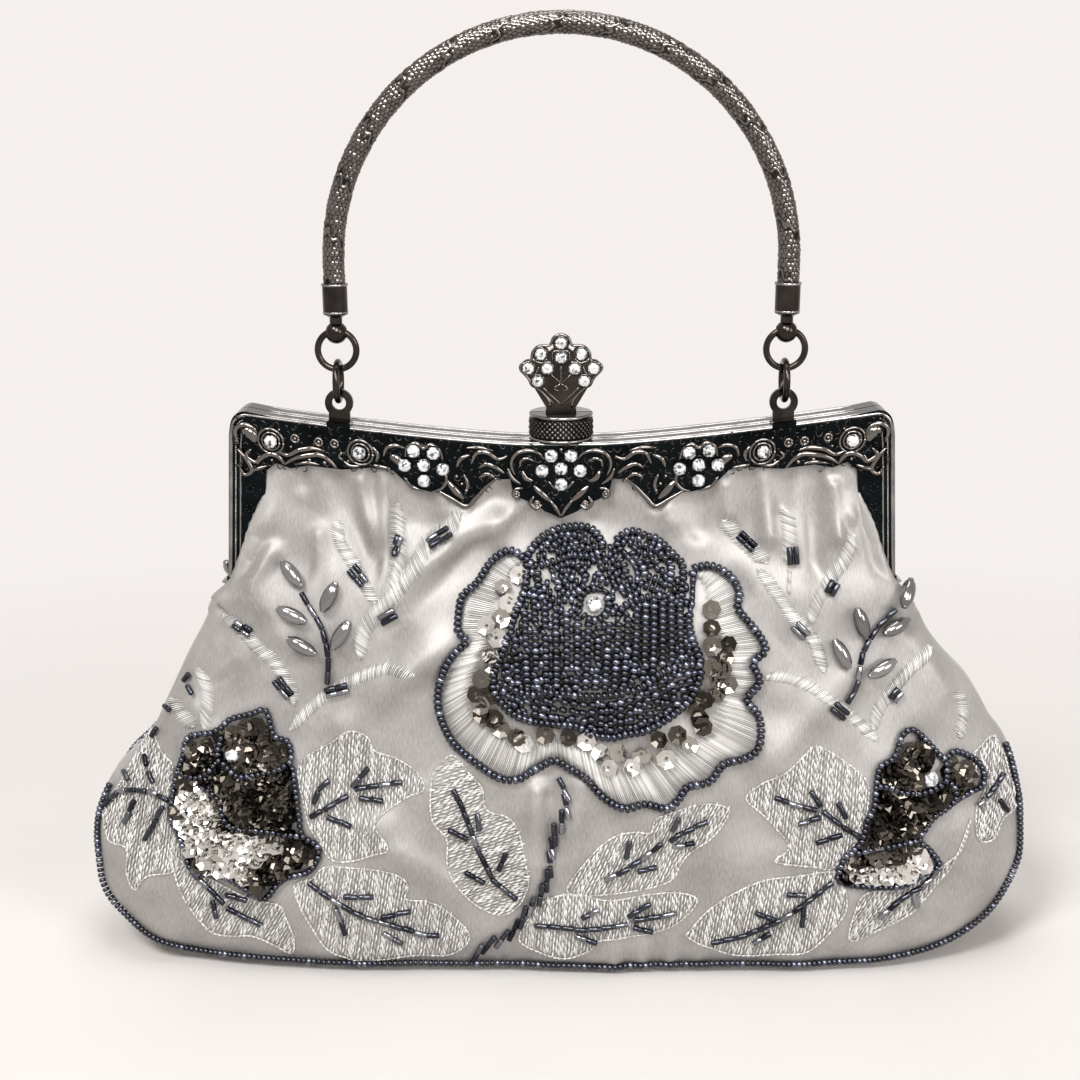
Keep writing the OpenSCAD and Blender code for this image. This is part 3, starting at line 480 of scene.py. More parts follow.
# Grey lacquer with a soft deep highlight
PEARL_COAT = toned("pearl_lacquered_rice_bead", ["#6C6A6A", "#929090"],
                   rough_low=0.1, rough_high=0.2, Metallic=0.85, Coat_Weight=0.6, Coat_Roughness=0.1)
# Foil-backed stones whose sparkle is painted: clear and dark patches in the colour
FOILED_CRYSTAL = glass_with_painted_sparkle("foil_backed_cut_glass_painted_sparkle", ["#4A4C50", "#B9BCC0", "#F4F3F1", "#FFFFFF"], size=0.8)


# ---- Geometry Nodes builders ----

def build_tree(name, inputs):
    """An empty tree with named inputs, and the sockets that carry them."""
    tree = bpy.data.node_groups.new(name, "GeometryNodeTree")
    tree.interface.new_socket("Geometry", in_out="INPUT", socket_type="NodeSocketGeometry")
    for label, kind in inputs:
        tree.interface.new_socket(label, in_out="INPUT", socket_type=kind)
    tree.interface.new_socket("Geometry", in_out="OUTPUT", socket_type="NodeSocketGeometry")
    return tree, node(tree, "NodeGroupInput").outputs


def end_tree(tree, geometry, finish, smoothed=True):
    """Real geometry, shaded smooth and painted, leaves the tree."""
    real = node(tree, "GeometryNodeRealizeInstances", {"Geometry": geometry})
    shaded = node(tree, "GeometryNodeSetShadeSmooth",
                  {"Geometry": real.outputs["Geometry"], "Shade Smooth": smoothed})
    painted = node(tree, "GeometryNodeSetMaterial",
                   {"Geometry": shaded.outputs["Geometry"], "Material": finish})
    node(tree, "NodeGroupOutput", {"Geometry": painted.outputs["Geometry"]})


def stored(tree, name):
    """A direction or size kept on the points."""
    return node(tree, "GeometryNodeInputNamedAttribute", {"Name": name},
                data_type="FLOAT_VECTOR").outputs["Attribute"]


def strung_beads():
    """Round beads with a hole, threaded along lines a pitch apart; where strings meet, one bead stays."""
    tree, given = build_tree("strung beads", [
        ("Pitch", "NodeSocketFloat"), ("Radius", "NodeSocketFloat"), ("Length", "NodeSocketFloat"),
        ("Seed", "NodeSocketInt"), ("Finish", "NodeSocketMaterial")])
    line = node(tree, "GeometryNodeMeshToCurve", {"Mesh": given["Geometry"]})
    dots = node(tree, "GeometryNodeCurveToPoints", {"Curve": line.outputs["Curve"], "Length": given["Pitch"]},
                mode="LENGTH")
    held = node(tree, "GeometryNodeStoreNamedAttribute",
                {"Geometry": dots.outputs["Points"], "Name": "way", "Value": dots.outputs["Tangent"]},
                data_type="FLOAT_VECTOR")
    reach = reckon(tree, "MULTIPLY", given["Pitch"], 0.7)
    apart = node(tree, "GeometryNodeMergeByDistance",
                 {"Geometry": held.outputs["Geometry"], "Distance": reach})
    wall = reckon(tree, "MULTIPLY", given["Radius"], 0.36)
    middle = reckon(tree, "MULTIPLY", given["Radius"], 0.64)
    half = reckon(tree, "MULTIPLY", reckon(tree, "DIVIDE", given["Length"], wall), 0.5)
    hoop = node(tree, "GeometryNodeCurvePrimitiveCircle", {"Resolution": 8, "Radius": middle})
    body = node(tree, "GeometryNodeCurvePrimitiveCircle", {"Resolution": 6, "Radius": wall})
    ring = node(tree, "GeometryNodeCurveToMesh",
                {"Curve": hoop.outputs["Curve"], "Profile Curve": body.outputs["Curve"]})
    size = node(tree, "ShaderNodeCombineXYZ", {"X": 1.0, "Y": 1.0, "Z": half})
    bead = node(tree, "GeometryNodeTransform", {"Geometry": ring.outputs["Mesh"], "Scale": size.outputs[0]})
    turn = node(tree, "FunctionNodeAlignRotationToVector", {"Vector": stored(tree, "way")})
    scale = node(tree, "FunctionNodeRandomValue", {2: 0.93, 3: 1.05, "Seed": given["Seed"]})
    tone = node(tree, "FunctionNodeRandomValue", {"Seed": given["Seed"]})
    copies = node(tree, "GeometryNodeInstanceOnPoints",
                  {"Points": apart.outputs["Geometry"], "Instance": bead.outputs["Geometry"],
                   "Rotation": turn.outputs["Rotation"], "Scale": scale.outputs[1]})
    toned_copies = node(tree, "GeometryNodeStoreNamedAttribute",
                        {"Geometry": copies.outputs["Instances"], "Name": "tone", "Value": tone.outputs[1]},
                        domain="INSTANCE")
    end_tree(tree, toned_copies.outputs["Geometry"], given["Finish"])
    return tree


def laid_threads():
    """Threads along short lines, thin where the needle goes in and out."""
    tree, given = build_tree("laid threads", [
        ("Thickness", "NodeSocketFloat"), ("Seed", "NodeSocketInt"), ("Finish", "NodeSocketMaterial")])
    line = node(tree, "GeometryNodeMeshToCurve", {"Mesh": given["Geometry"]})
    tone = node(tree, "FunctionNodeRandomValue", {"Seed": given["Seed"]})
    toned_lines = node(tree, "GeometryNodeStoreNamedAttribute",
                       {"Geometry": line.outputs["Curve"], "Name": "tone", "Value": tone.outputs[1]},
                       domain="CURVE")
    place = node(tree, "GeometryNodeSplineParameter")
    left = reckon(tree, "SUBTRACT", 1.0, place.outputs["Factor"])
    hump = reckon(tree, "MULTIPLY", left, place.outputs["Factor"])
    taper = reckon(tree, "POWER", reckon(tree, "MULTIPLY", hump, 4.0), 0.35)
    width = reckon(tree, "MAXIMUM", taper, 0.35)
    half = reckon(tree, "MULTIPLY", given["Thickness"], 0.5)
    round_section = node(tree, "GeometryNodeCurvePrimitiveCircle", {"Resolution": 4, "Radius": half})
    thread = node(tree, "GeometryNodeCurveToMesh",
                  {"Curve": toned_lines.outputs["Geometry"], "Profile Curve": round_section.outputs["Curve"],
                   "Scale": width, "Fill Caps": True})
    end_tree(tree, thread.outputs["Mesh"], given["Finish"])
    return tree


def sewn_pieces():
    """One shape set on points, with its face along 'facing' and its length along 'along'."""
    tree, given = build_tree("sewn pieces", [
        ("Shape", "NodeSocketObject"), ("Smooth", "NodeSocketBool"), ("Finish", "NodeSocketMaterial")])
    shape = node(tree, "GeometryNodeObjectInfo", {"Object": given["Shape"]})
    up = node(tree, "FunctionNodeAlignRotationToVector", {"Vector": stored(tree, "facing")})
    turn = node(tree, "FunctionNodeAlignRotationToVector",
                {"Rotation": up.outputs["Rotation"], "Vector": stored(tree, "along")},
                axis="X", pivot_axis="Z")
    copies = node(tree, "GeometryNodeInstanceOnPoints",
                  {"Points": given["Geometry"], "Instance": shape.outputs["Geometry"],
                   "Rotation": turn.outputs["Rotation"], "Scale": stored(tree, "size")})
    end_tree(tree, copies.outputs["Instances"], given["Finish"], given["Smooth"])
    return tree


BEAD_TREE = strung_beads()
THREAD_TREE = laid_threads()
SEWN_TREE = sewn_pieces()


def bake(name, source, tree, inputs):
    """Runs a tree on a source mesh and keeps the plain mesh as a new piece."""
    modifier = source.modifiers.new("build", "NODES")
    modifier.node_group = tree
    for item in tree.interface.items_tree:
        if item.item_type == "SOCKET" and item.in_out == "INPUT" and item.name in inputs:
            modifier[item.identifier] = inputs[item.name]
    bpy.context.view_layer.update()
    depsgraph = bpy.context.evaluated_depsgraph_get()
    mesh = bpy.data.meshes.new_from_object(source.evaluated_get(depsgraph), depsgraph=depsgraph)
    mesh.name = name
    source.modifiers.remove(modifier)
    bpy.data.objects.remove(source)
    return placed(name, mesh)


def lines_object(paths):
    """A mesh of loose lines, one per path."""
    points = []
    edges = []
    for path in paths:
        edges += [(len(points) + i, len(points) + i + 1) for i in range(len(path) - 1)]
        points += [tuple(p) for p in path]
    return mesh_piece("lines", points, [], edges=edges)


def beads(name, paths, pitch, radius, seed, finish=None):
    """Strings of beads along lines."""
    return bake(name, lines_object(paths), BEAD_TREE, {
        "Pitch": pitch * MM, "Radius": radius * MM, "Length": pitch * 0.97 * MM, "Seed": seed,
        "Finish": finish or SEED_GLASS})


def threads(name, paths, thickness, seed):
    """Embroidery threads along lines."""
    return bake(name, lines_object(paths), THREAD_TREE, {
        "Thickness": thickness * MM, "Seed": seed, "Finish": RAYON})


def sewn(name, shape, places, finish, smoothed=True):
    """places: (point, facing, along, size, tone) for each copy; size is a number or three."""
    source = mesh_piece("dots", [p[0] for p in places], [])
    mark(source, "facing", [p[1] for p in places], "FLOAT_VECTOR")
    mark(source, "along", [p[2] for p in places], "FLOAT_VECTOR")
    mark(source, "size", [np.broadcast_to(p[3], 3) for p in places], "FLOAT_VECTOR")
    mark(source, "tone", [p[4] for p in places])
    pattern = mesh_piece("pattern", *shape)
    made = bake(name, source, SEWN_TREE, {"Shape": pattern, "Smooth": smoothed, "Finish": finish})
    bpy.data.objects.remove(pattern)
    return made


# ---- the cloth ----

# Half width of the pouch by height, on the left and on the right
LEFT_HALF = [
    (0, 109), (1.5, 115), (4, 121), (9, 127.5), (15, 132.5), (22, 135.5), (30, 136.5), (39, 135.5),
    (47, 132.5), (52, 128.5), (58, 122.5), (64, 118), (70, 115), (78, 111), (87, 106.5), (94, 102.5),
    (98, 100.5)]
RIGHT_HALF = [
    (0, 108), (1.5, 114), (4, 119), (9, 125), (15, 129.5), (22, 132.5), (30, 134), (42, 133.5), (53, 131),
    (61, 128), (67, 123.5), (74, 119.5), (80, 115.5), (84, 111.5), (89, 107), (94, 103.5), (98, 101.5)]
# How far the pouch's faces stand from the middle plane, and how square its section is, by height
DEPTH = [
    (0, 26.5), (2, 28), (8, 29.4), (16, 29.5), (28, 28.9), (40, 27.6), (50, 26), (58, 24.6), (68, 22.6),
    (80, 20.5), (90, 18.9), (98, 17.6)]
SQUARE = [(0, 5), (3, 4.3), (16, 3.6), (40, 3.1), (70, 2.9), (98, 2.6)]
# Half width of the upper cloth by height, where it bulges past the leg
PAST_LEG = [
    (98, 101), (101, 100), (104, 98.6), (107, 95.8), (111, 92.3), (118, 89.2), (126, 86.3), (133, 82.8),
    (136, 81.6), (148, 81)]
# How far the upper cloth stands forward, by its share of the way up the panel
UPPER_DEPTH = [
    (0, 17.6), (0.1, 15.8), (0.2, 13.7), (0.3, 11.6), (0.4, 9.8), (0.5, 8.3), (0.6, 7), (0.7, 6),
    (0.8, 5.5), (0.9, 5.3), (1, 5.2)]
# How far forward its outer edge stands, by height
EDGE_DEPTH = [(104, 7.1), (128, 7), (136, 6.2), (140, 5.8), (148, 5.4)]
BAND_Z = 147.0  # height in these tables where the upper cloth reaches the frame's bar
HALF_COLS = 116  # columns of the finest cloth from the middle to a side seam
SAMPLES = 220  # points of a section before they are spaced evenly
UPPER_SQUARE = 2.6
ON_POUCH = -1.0  # marks the rows below the hinges; panel rows carry their share of the way up
IN_CHANNEL = 2.0  # marks the rows tucked up into the frame's channel
TUCKS = (1.0, 2.2, 3.4)
BASE_RUN = 9.0  # lengths that set how many rows the base and the panel get
PANEL_RUN = 50.0


def lower_section(z, half_keys, inset):
    """Right half of the pouch's section, from the middle of the face to the side seam."""
    w = flow(half_keys, z) - inset
    d = flow(DEPTH, z) - inset
    n = flow(SQUARE, z)
    a = np.linspace(0, math.pi / 2, SAMPLES)
    return joined(w * np.sin(a) ** (2 / n), d * np.cos(a) ** (2 / n))


def upper_section(t, inset, tucked):
    """Section above the hinge: past the leg's face, then back round its inner edge into the channel."""
    z = RIM_Z + (BAND_Z - RIM_Z) * t
    w = flow(PAST_LEG, z) - inset
    d = flow(UPPER_DEPTH, t) - inset * 0.55
    e = flow(EDGE_DEPTH, z) - inset * 0.55
    channel = leg_x(z) - LEG_W
    a = np.linspace(0, math.pi / 2, SAMPLES)
    if tucked:
        w = min(w, channel - 0.8)
        e = min(e, 5.2)
    n = UPPER_SQUARE
    closed = joined(w * np.sin(a) ** (2 / n), d * np.cos(a) ** (2 / n))
    front = joined(w * np.sin(a) ** (2 / n), e + (d - e) * np.cos(a) ** (2 / n))
    lip = min(w - 0.4, channel + 0.4)
    back = [(w, e - 0.25), (w - 0.4, e - 0.5), (lip, min(e - 0.55, 6.65)), (channel - 0.5, min(e - 0.6, 6.2)),
            (channel - 0.5, 5.3), (channel + 0.5, 4.9), (channel + 4, 4.7)]
    held = np.vstack([front, back])
    k = smooth((z - 101.5) / 3)
    return (1 - k) * spaced(closed, count=SAMPLES) + k * spaced(held, count=SAMPLES)


# Folds of the front satin: foot and head of each, height (valleys are negative) and half width
FOLDS = [
    (-79, 142, -82, 126, 0.8, 3.0), (-71, 143, -71, 137, -0.6, 2.2), (-63, 139, -53, 118, -1.1, 2.6),
    (-56, 142, -52, 118, 0.9, 1.8), (-49, 139, -48, 112, 0.8, 1.8), (-45, 131, -46, 108, -0.6, 1.6),
    (-67, 123, -66, 111, 0.7, 2.2), (-88, 124, -86, 112, -0.7, 2.0), (-80, 118, -88, 106, 0.9, 2.6),
    (-38, 139, -40, 126, -0.7, 2.4), (-33, 139, -33, 129, 0.6, 2.2), (-22, 136, -30, 124, 0.8, 3.0),
    (-19, 127, -44, 109, 1.2, 4.0), (-23, 116, -49, 94, -1.7, 4.2), (-20, 102, -42, 86, 1.2, 4.0),
    (-46, 99, -68, 76, -1.2, 4.6), (-36, 91, -60, 71, 1.3, 4.8), (-30, 66, -58, 48, -1.0, 5.0),
    (-78, 96, -96, 84, 0.9, 3.2), (-84, 92, -100, 76, -0.9, 3.4), (-98, 68, -112, 58, 0.8, 3.4),
    (-8, 134, -18, 124, 0.7, 2.6), (12, 136, 10, 127, -0.6, 2.6), (26, 138, 30, 126, 0.6, 3.0),
    (36, 140, 38, 124, -0.8, 2.6), (44, 141, 46, 128, 0.8, 2.4), (55, 142, 57, 122, 0.9, 2.4),
    (62, 141, 61, 130, -0.6, 1.8), (69, 141, 70, 114, -0.9, 2.4), (74, 141, 76, 122, 0.9, 2.2),
    (83, 134, 88, 112, -0.9, 2.4), (80, 140, 80, 128, 0.6, 2.0), (89, 118, 94, 104, 0.8, 2.2),
    (60, 62, 90, 96, 0.9, 5.0), (48, 108, 62, 88, -1.0, 4.0), (98, 92, 108, 78, 0.9, 3.2),
    (66, 108, 80, 100, 0.6, 2.6), (-7, 54, -8, 24, 0.9, 2.4), (-3, 52, -3, 36, -0.7, 1.8),
    (5, 55, 4, 34, 0.7, 2.6), (50, 44, 66, 38, -0.6, 3.6), (-46, 36, -30, 26, 0.6, 3.6),
    (-118, 22, -128, 34, 0.5, 3.0)]
# Short puckers above the seam, where the thread was drawn tight: place along the seam, height
PUCKERS = [
    (15, 1.0), (19, -0.9), (23, 1.0), (27, -1.0), (31, 1.1), (35, -0.8), (39, 0.7), (-62, -0.5),
    (-58, 0.5)]


# The lower edge of the scrollwork plate by distance from the middle, and how deep a valley may go
PLATE_FOOT = [
    (0, 126.5), (4, 131), (9, 136), (14, 137), (20, 134), (26, 129.5), (30, 133), (36, 135), (42, 138),
    (60, 140), (82, 139)]
DEEPEST = 1.5


def folds(x, z):
    """How far the cloth stands out at (x, z)."""
    rise = np.zeros_like(x)
    for x0, z0, x1, z1, height, half in FOLDS:
        dx = x1 - x0
        dz = z1 - z0
        t = np.clip(((x - x0) * dx + (z - z0) * dz) / (dx * dx + dz * dz), 0, 1)
        gap = np.hypot(x - x0 - t * dx, z - z0 - t * dz)
        rise += height * np.exp(-(gap / half) ** 2)
    near_seam = smooth((z - 1) / 3) * smooth((14 - z) / 9)
    for place, height in PUCKERS:
        rise += 0.55 * height * np.exp(-((x - place) / 1.5) ** 2) * near_seam
    return rise


def ripple(x, z, seed, size):
    """Soft unevenness from waves in all directions, about one unit high."""
    count = 14
    rng = np.random.default_rng(seed)
    total = np.zeros_like(x)
    for _ in range(count):
        a = rng.uniform(0, math.pi)
        phase = rng.uniform(0, 2 * math.pi)
        k = 2 * math.pi / (size * rng.uniform(0.7, 1.5))
        total += np.sin(k * (x * math.cos(a) + z * math.sin(a)) + phase)
    return total * math.sqrt(2 / count)


def cloth_grid(side, inset=0.0, step=1.25, half_cols=HALF_COLS, creased=True, tucked=False, head=None):
    """Points, UVs and row heights of one face of the bag, from the middle of the base up into the frame."""
    rows = [(inset, f, ON_POUCH) for f in np.linspace(0, 1, max(3, int(BASE_RUN / step)))]
    rows += [(z, 1.0, ON_POUCH) for z in np.arange(inset + step / 2, RIM_Z - 0.3, step)]
    rows += [(RIM_Z, 1.0, t) for t in np.linspace(0, 1, int(PANEL_RUN / step))]
    rows += [(tuck, 1.0, IN_CHANNEL) for tuck in TUCKS]
    grid = []
    lift = []
    for z, f, t in rows:
        halves = []
        for keys in (LEFT_HALF, RIGHT_HALF):
            if t < 0:
                half = spaced(lower_section(z, keys, inset), count=half_cols)
            else:
                section = upper_section(min(t, 1.0), inset, tucked)
                if t == 0:
                    section = lower_section(RIM_Z, keys, inset)
                half = spaced(section, count=half_cols)
            halves.append(half)
        left, right = halves
        xy = np.vstack([left[:0:-1] * (-1, 1), right])
        x = xy[:, 0]
        if t < 0:
            height = np.full_like(x, z)
        else:
            band = top_z(np.minimum(np.abs(x), 82)) - BAR_H
            height = RIM_Z + min(t, 1.0) * (band - RIM_Z)
            if t > 1:
                height = band + z
        grid.append(joined(x, side * f * xy[:, 1], height))
        lift.append(np.full_like(x, t))
    grid = np.array(grid)
    lift = np.array(lift)
    if head is not None:
        keep = grid[:, half_cols - 1, 2] <= head
        grid = grid[keep]
        lift = lift[keep]
    if creased:
        grid = crease(grid, lift, side)
    across = np.concatenate([np.zeros((len(grid), 1)),
                             np.cumsum(np.linalg.norm(np.diff(grid, axis=1), axis=2), axis=1)], axis=1)
    across -= across[:, half_cols - 1:half_cols]
    mid = grid[:, half_cols - 1]
    up = np.concatenate([[0], np.cumsum(np.linalg.norm(np.diff(mid, axis=0), axis=1))])
    uv = np.stack([across, np.repeat(up[:, None], grid.shape[1], axis=1)], axis=2)
    return grid, uv


def crease(grid, lift, side):
    """Moves the cloth in and out along its own normal."""
    across = np.gradient(grid, axis=1)
    up = np.gradient(grid, axis=0)
    normal = unit(np.cross(across, up)) * -side
    x = grid[..., 0] * -side
    z = grid[..., 2]
    # Folds stand out further in the panel than on the pouch
    drawn = 1.9 + 1.0 * smooth((z - 108) / 12)
    move = drawn * folds(x, z) + 0.55 * ripple(x, z, 7 + side, 52) + 0.36 * ripple(x, z, 21 + side, 22)
    half = (grid.shape[1] - 1) // 2
    share = np.abs(np.arange(grid.shape[1]) - half) / half
    seam = smooth((1 - share) / 0.1)[None, :]
    base = smooth((z - 0.3) / 3.5)
    t = np.maximum(lift, 0)
    height = RIM_Z + (BAND_Z - RIM_Z) * np.minimum(t, 1)
    nose = np.where(lift >= 0, smooth((flow(PAST_LEG, height) - np.abs(x)) / 7), 1)
    front = np.abs(grid[..., 1]) > 4.6
    neck = np.where(lift >= 0, 1 - 0.3 * smooth((t - 0.45) / 0.4), 1.0) * np.where(lift > 1, 0, 1)
    near_bar = 1 - smooth((t - 0.93) / 0.07)
    move = move * seam * base * nose * front * neck * near_bar
    move = np.where(move < 0, -DEEPEST * np.tanh(-move / DEEPEST), move)
    made = grid + normal * move[..., None]
    # Under the scrollwork the cloth stays behind the plate
    limit = 6.05 + 1.2 * np.maximum(0, flow(PLATE_FOOT, np.abs(x)) - 1 - z)
    depth = np.abs(made[..., 1])
    over = (lift >= 0) & (depth > limit) & (np.abs(x) < 78)
    made[..., 1] = np.where(over, side * limit, made[..., 1])
    # The cloth runs on softly where the pouch meets the panel
    ease = (0.5 * np.exp(-((z - RIM_Z - 2) / 8) ** 2) * (np.abs(x) < 96))[1:-1, :, None]
    for _ in range(40):
        made[1:-1] += ease * ((made[:-2] + made[2:]) / 2 - made[1:-1])
    return made


def cloth_piece(name, side, material, grid, uv, thickness):
    """A mesh of the cloth, facing outwards, with its UV map in metres along the weave."""
    rows, cols = grid.shape[:2]
    made = mesh_piece(name, grid.reshape(-1, 3), grid_faces(rows, cols, turned=side == REAR), material)
    layer = made.data.uv_layers.new(name="cloth")
    index = np.zeros(len(made.data.loops), np.int32)
    made.data.loops.foreach_get("vertex_index", index)
    layer.data.foreach_set("uv", (uv.reshape(-1, 2) * MM)[index].astype(np.float32).ravel())
    tidy(made, outwards=False)
    wall = made.modifiers.new("cloth thickness", "SOLIDIFY")
    wall.thickness = thickness * MM
    wall.offset = -1.0
    return made


CLEAR_OF_BAG = 90.0  # where a ray towards the cloth starts


class Fabric:
    """The finished cloth of one face, on which the embroidery is laid."""

    def __init__(self, side, grid):
        """Keeps the cloth's faces, so that places on it can be found."""
        self.side = side
        rows, cols = grid.shape[:2]
        points = [Vector(p) for p in grid.reshape(-1, 3)]
        self.tree = BVHTree.FromPolygons(points, grid_faces(rows, cols, turned=side == REAR))

    def at(self, x, z, lift=0.0):
        """The point over (x, z) of the design, and the way the cloth faces there."""
        turned = x * -self.side
        start = Vector((turned, self.side * CLEAR_OF_BAG, z))
        hit, normal, _, _ = self.tree.ray_cast(start, Vector((0, -self.side, 0)))
        if hit is None:
            hit, normal, _, _ = self.tree.find_nearest(Vector((turned, self.side * 9, z)))
        if normal.y * self.side < 0:
            normal = -normal
        return np.array(hit + normal * lift), np.array(normal)

    def lay(self, path, lift=0.0):
        """A flat line laid on the cloth; lift is a number, or one for each point."""
        lifts = np.broadcast_to(lift, len(path))
        return [self.at(p[0], p[1], h)[0] for p, h in zip(path, lifts)]


def sew_on(piece, side, slot, *nodes):
    """The piece keeps its place, baked into its points, and the nodes it stands in for are hidden."""
    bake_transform(piece)
    if nodes:
        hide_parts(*nodes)
    return piece


fabric = {}
satin = {}
for side in (FRONT, REAR):
    label = SIDE_NAME[side]
    grid, uv = cloth_grid(side)
    satin[side] = cloth_piece(label + "_satin", side, SATIN, grid, uv, CLOTH_T)
    fabric[side] = Fabric(side, grid)
    sew_on(satin[side], side, "satin", label + "_panel", "pouch_shell")


# ---- the embroidery's design, front view: (x, z) of listed points ----

FLOWER_EDGE = [
    (-9.5, 115.5), (-14.5, 118), (-19.5, 114.5), (-23, 109.5), (-27, 106), (-28, 101), (-28, 98),
    (-26, 95.5), (-29.5, 92.5), (-32, 89), (-33.5, 84), (-34, 79), (-33.5, 74.5), (-31.5, 69),
    (-28.5, 65), (-23, 61.5), (-17, 57.5), (-12, 57), (-7.5, 59.5), (-2, 62), (2, 60), (7, 57),
    (12.5, 52), (17.5, 49.5), (23, 50.5), (29, 49), (32.5, 51.5), (35, 55), (41, 56.5), (44.5, 61),
    (50, 62.5), (54, 65), (55, 70), (54, 74.5), (51, 78.5), (54.5, 83.5), (52.5, 88.5), (56, 91.5),
    (54.5, 95.5), (51, 100), (48.5, 103), (49, 107), (46.5, 111.5), (41.5, 114), (37, 113.5)]
LOBE_LEFT = [
    (-9.5, 115.5), (-8, 118.5), (-5, 121.5), (-2.5, 123), (0, 124), (3, 124.5), (5.5, 124.5), (7.5, 124),
    (9.5, 122.5), (11, 120.5), (11.5, 119), (10.5, 117.5), (8, 116.5), (5, 116.5), (2.5, 116.5),
    (-0.5, 115.5), (-4, 114.5), (-7, 114)]
LOBE_RIGHT = [
    (15.5, 119.5), (17, 122), (19, 123), (21.5, 123), (23.5, 122), (26, 121.5), (28, 120), (29.5, 118.5),
    (31.5, 116.5), (33, 115), (33.5, 112), (33, 108), (32.5, 104.5), (29, 107), (25, 108.5), (21.5, 110),
    (20, 114)]
FIELD_SIDE = [
    (-9.5, 115.5), (-9.5, 112), (-10, 107.5), (-12.5, 102.5), (-14.5, 97.5), (-16, 93), (-17.5, 89),
    (-19, 85), (-18.5, 81.5), (-16, 78), (-12.5, 75), (-7.5, 73), (-2, 72), (4.5, 71.5), (9, 69),
    (14.5, 68.5), (17.5, 69.5), (22.5, 70.5), (27, 72.5), (31.5, 75.5), (35.5, 79.5), (38, 85.5),
    (38, 90), (36, 95), (35, 99.5), (35.5, 104), (36.5, 110)]
SMILE = [
    (-18.5, 84.5), (-13.5, 82), (-8.5, 80.5), (-2.5, 81), (2, 80.5), (7, 80), (11.5, 80), (16.5, 80.5),
    (20.5, 81.5), (24, 83.5), (27, 86), (32, 88), (37.5, 89)]
FIELD_HEAD = [
    (-15, 97), (-12, 106), (-9, 110), (-3, 104), (3, 101.5), (9, 98.5), (14, 100.5), (20, 103), (28, 106),
    (34, 104)]
SWIRLS = [
    [(-2.5, 112.5), (0, 114), (3, 114.5), (5.5, 113), (7, 110.5), (5, 108), (2, 107), (-1, 109),
     (0.5, 111.5), (3, 111)], [(-6.5, 112), (-6, 108), (-4, 104.5), (0, 103)],
    [(9, 115.5), (12.5, 117), (16, 116), (17.5, 113.5), (16.5, 111), (13.5, 110), (10.5, 111.5),
     (11.5, 114), (14, 113.5)], [(17.5, 117.5), (20, 115), (21, 112), (20, 109), (17, 107)],
    [(8.5, 109.5), (11, 108.5), (14, 107.5)],
    [(32.5, 104), (28.5, 106.5), (23.5, 106), (19.5, 105), (16.5, 103), (15, 100.5)],
    [(11.5, 119), (13.5, 118.5), (15.5, 119.5)], [(37, 113.5), (36, 111), (36, 106.5), (35.5, 102.5)]]
FLOWER_STONE = (9, 104.5, 2.4)
PAILLETTES = [
    (-11.5, 111.5), (-16, 108), (-14.5, 104.5), (-20.5, 99.5), (-17, 101), (-18, 96.5), (-19.5, 92),
    (-22, 85), (-23.5, 81), (-21.5, 75.5), (-16.5, 71.5), (-12.5, 69), (-10.5, 67.5), (-4.5, 69.5),
    (2, 68.5), (7, 67.5), (11, 64), (16, 64.5), (13, 60.5), (19, 60.5), (22, 64.5), (27, 68.5),
    (29, 63.5), (35, 67), (39, 71.5), (37, 77), (39.5, 79), (42.5, 81), (45.5, 83.5), (44, 87.5),
    (45.5, 94), (41, 93.5), (41, 103), (41, 98), (-19.5, 80.5), (-19, 89), (38, 73.5), (32, 69.5),
    (-22, 78), (-18.5, 74), (41.5, 88), (44.5, 90.5), (43, 85)]

# Satin-stitched sprays: spine, widest half width
SPRAYS = [
    ([(-61.5, 126.5), (-61, 120.5), (-56, 113), (-51.5, 105)], 1.9),
    ([(-45, 130.5), (-45, 123), (-45.5, 113.5), (-46.5, 109)], 2.3),
    ([(-27.5, 129), (-31, 124.5), (-37, 120), (-40, 114.5), (-46.5, 106.5), (-54, 98), (-56, 89.5)], 2.4),
    ([(-40.5, 87), (-47.5, 87.5), (-54, 85), (-61, 81.5), (-66.5, 78), (-72, 73), (-75.5, 69.5)], 1.7),
    ([(-94.5, 99), (-89.5, 96.5), (-85, 92), (-80, 88.5), (-76, 82.5), (-74.5, 77)], 2.0),
    ([(45, 126.5), (48, 122.5), (51.5, 119.5), (56.5, 115)], 2.2),
    ([(54.5, 113.5), (59, 107.5), (63.5, 101), (66.5, 98), (70, 93.5), (72.5, 85.5)], 1.9),
    ([(62, 129), (63, 122), (63, 114)], 2.2), ([(63, 113.5), (62.5, 107)], 0.6),
    ([(80.5, 122.5), (78, 115.5), (74.5, 111), (70, 104), (68.5, 99.5)], 2.1),
    ([(56.5, 84.5), (62.5, 84), (70, 81), (77, 76), (83, 71), (87.5, 66.5)], 1.8),
    ([(103.5, 89.5), (98, 85.5), (93, 81), (88.5, 75), (86.5, 69.5)], 2.0),
    ([(-102, 84), (-100, 77), (-100, 69)], 2.0), ([(-111.5, 73.5), (-108, 71), (-103.5, 68.5)], 2.2),
    ([(112, 77), (113.5, 71), (112, 65)], 1.9)]
SPRAY_BUGLES = [
    [(-58, 114), (-54, 109.5)], [(-44.5, 122), (-46.5, 116.5)], [(-36.5, 119.5), (-30, 124)],
    [(-50, 100), (-45.5, 102.5)], [(-65.5, 79.5), (-59, 81.5)], [(-91, 98), (-86, 95.5)],
    [(-79, 84), (-75, 79)], [(49, 122.5), (53.5, 118.5)], [(64, 99), (67.5, 95.5)],
    [(63.5, 119.5), (64, 114.5)], [(75.5, 110), (73.5, 106.5)], [(74.5, 77), (78.5, 73.5)],
    [(94, 80), (91.5, 77)]]
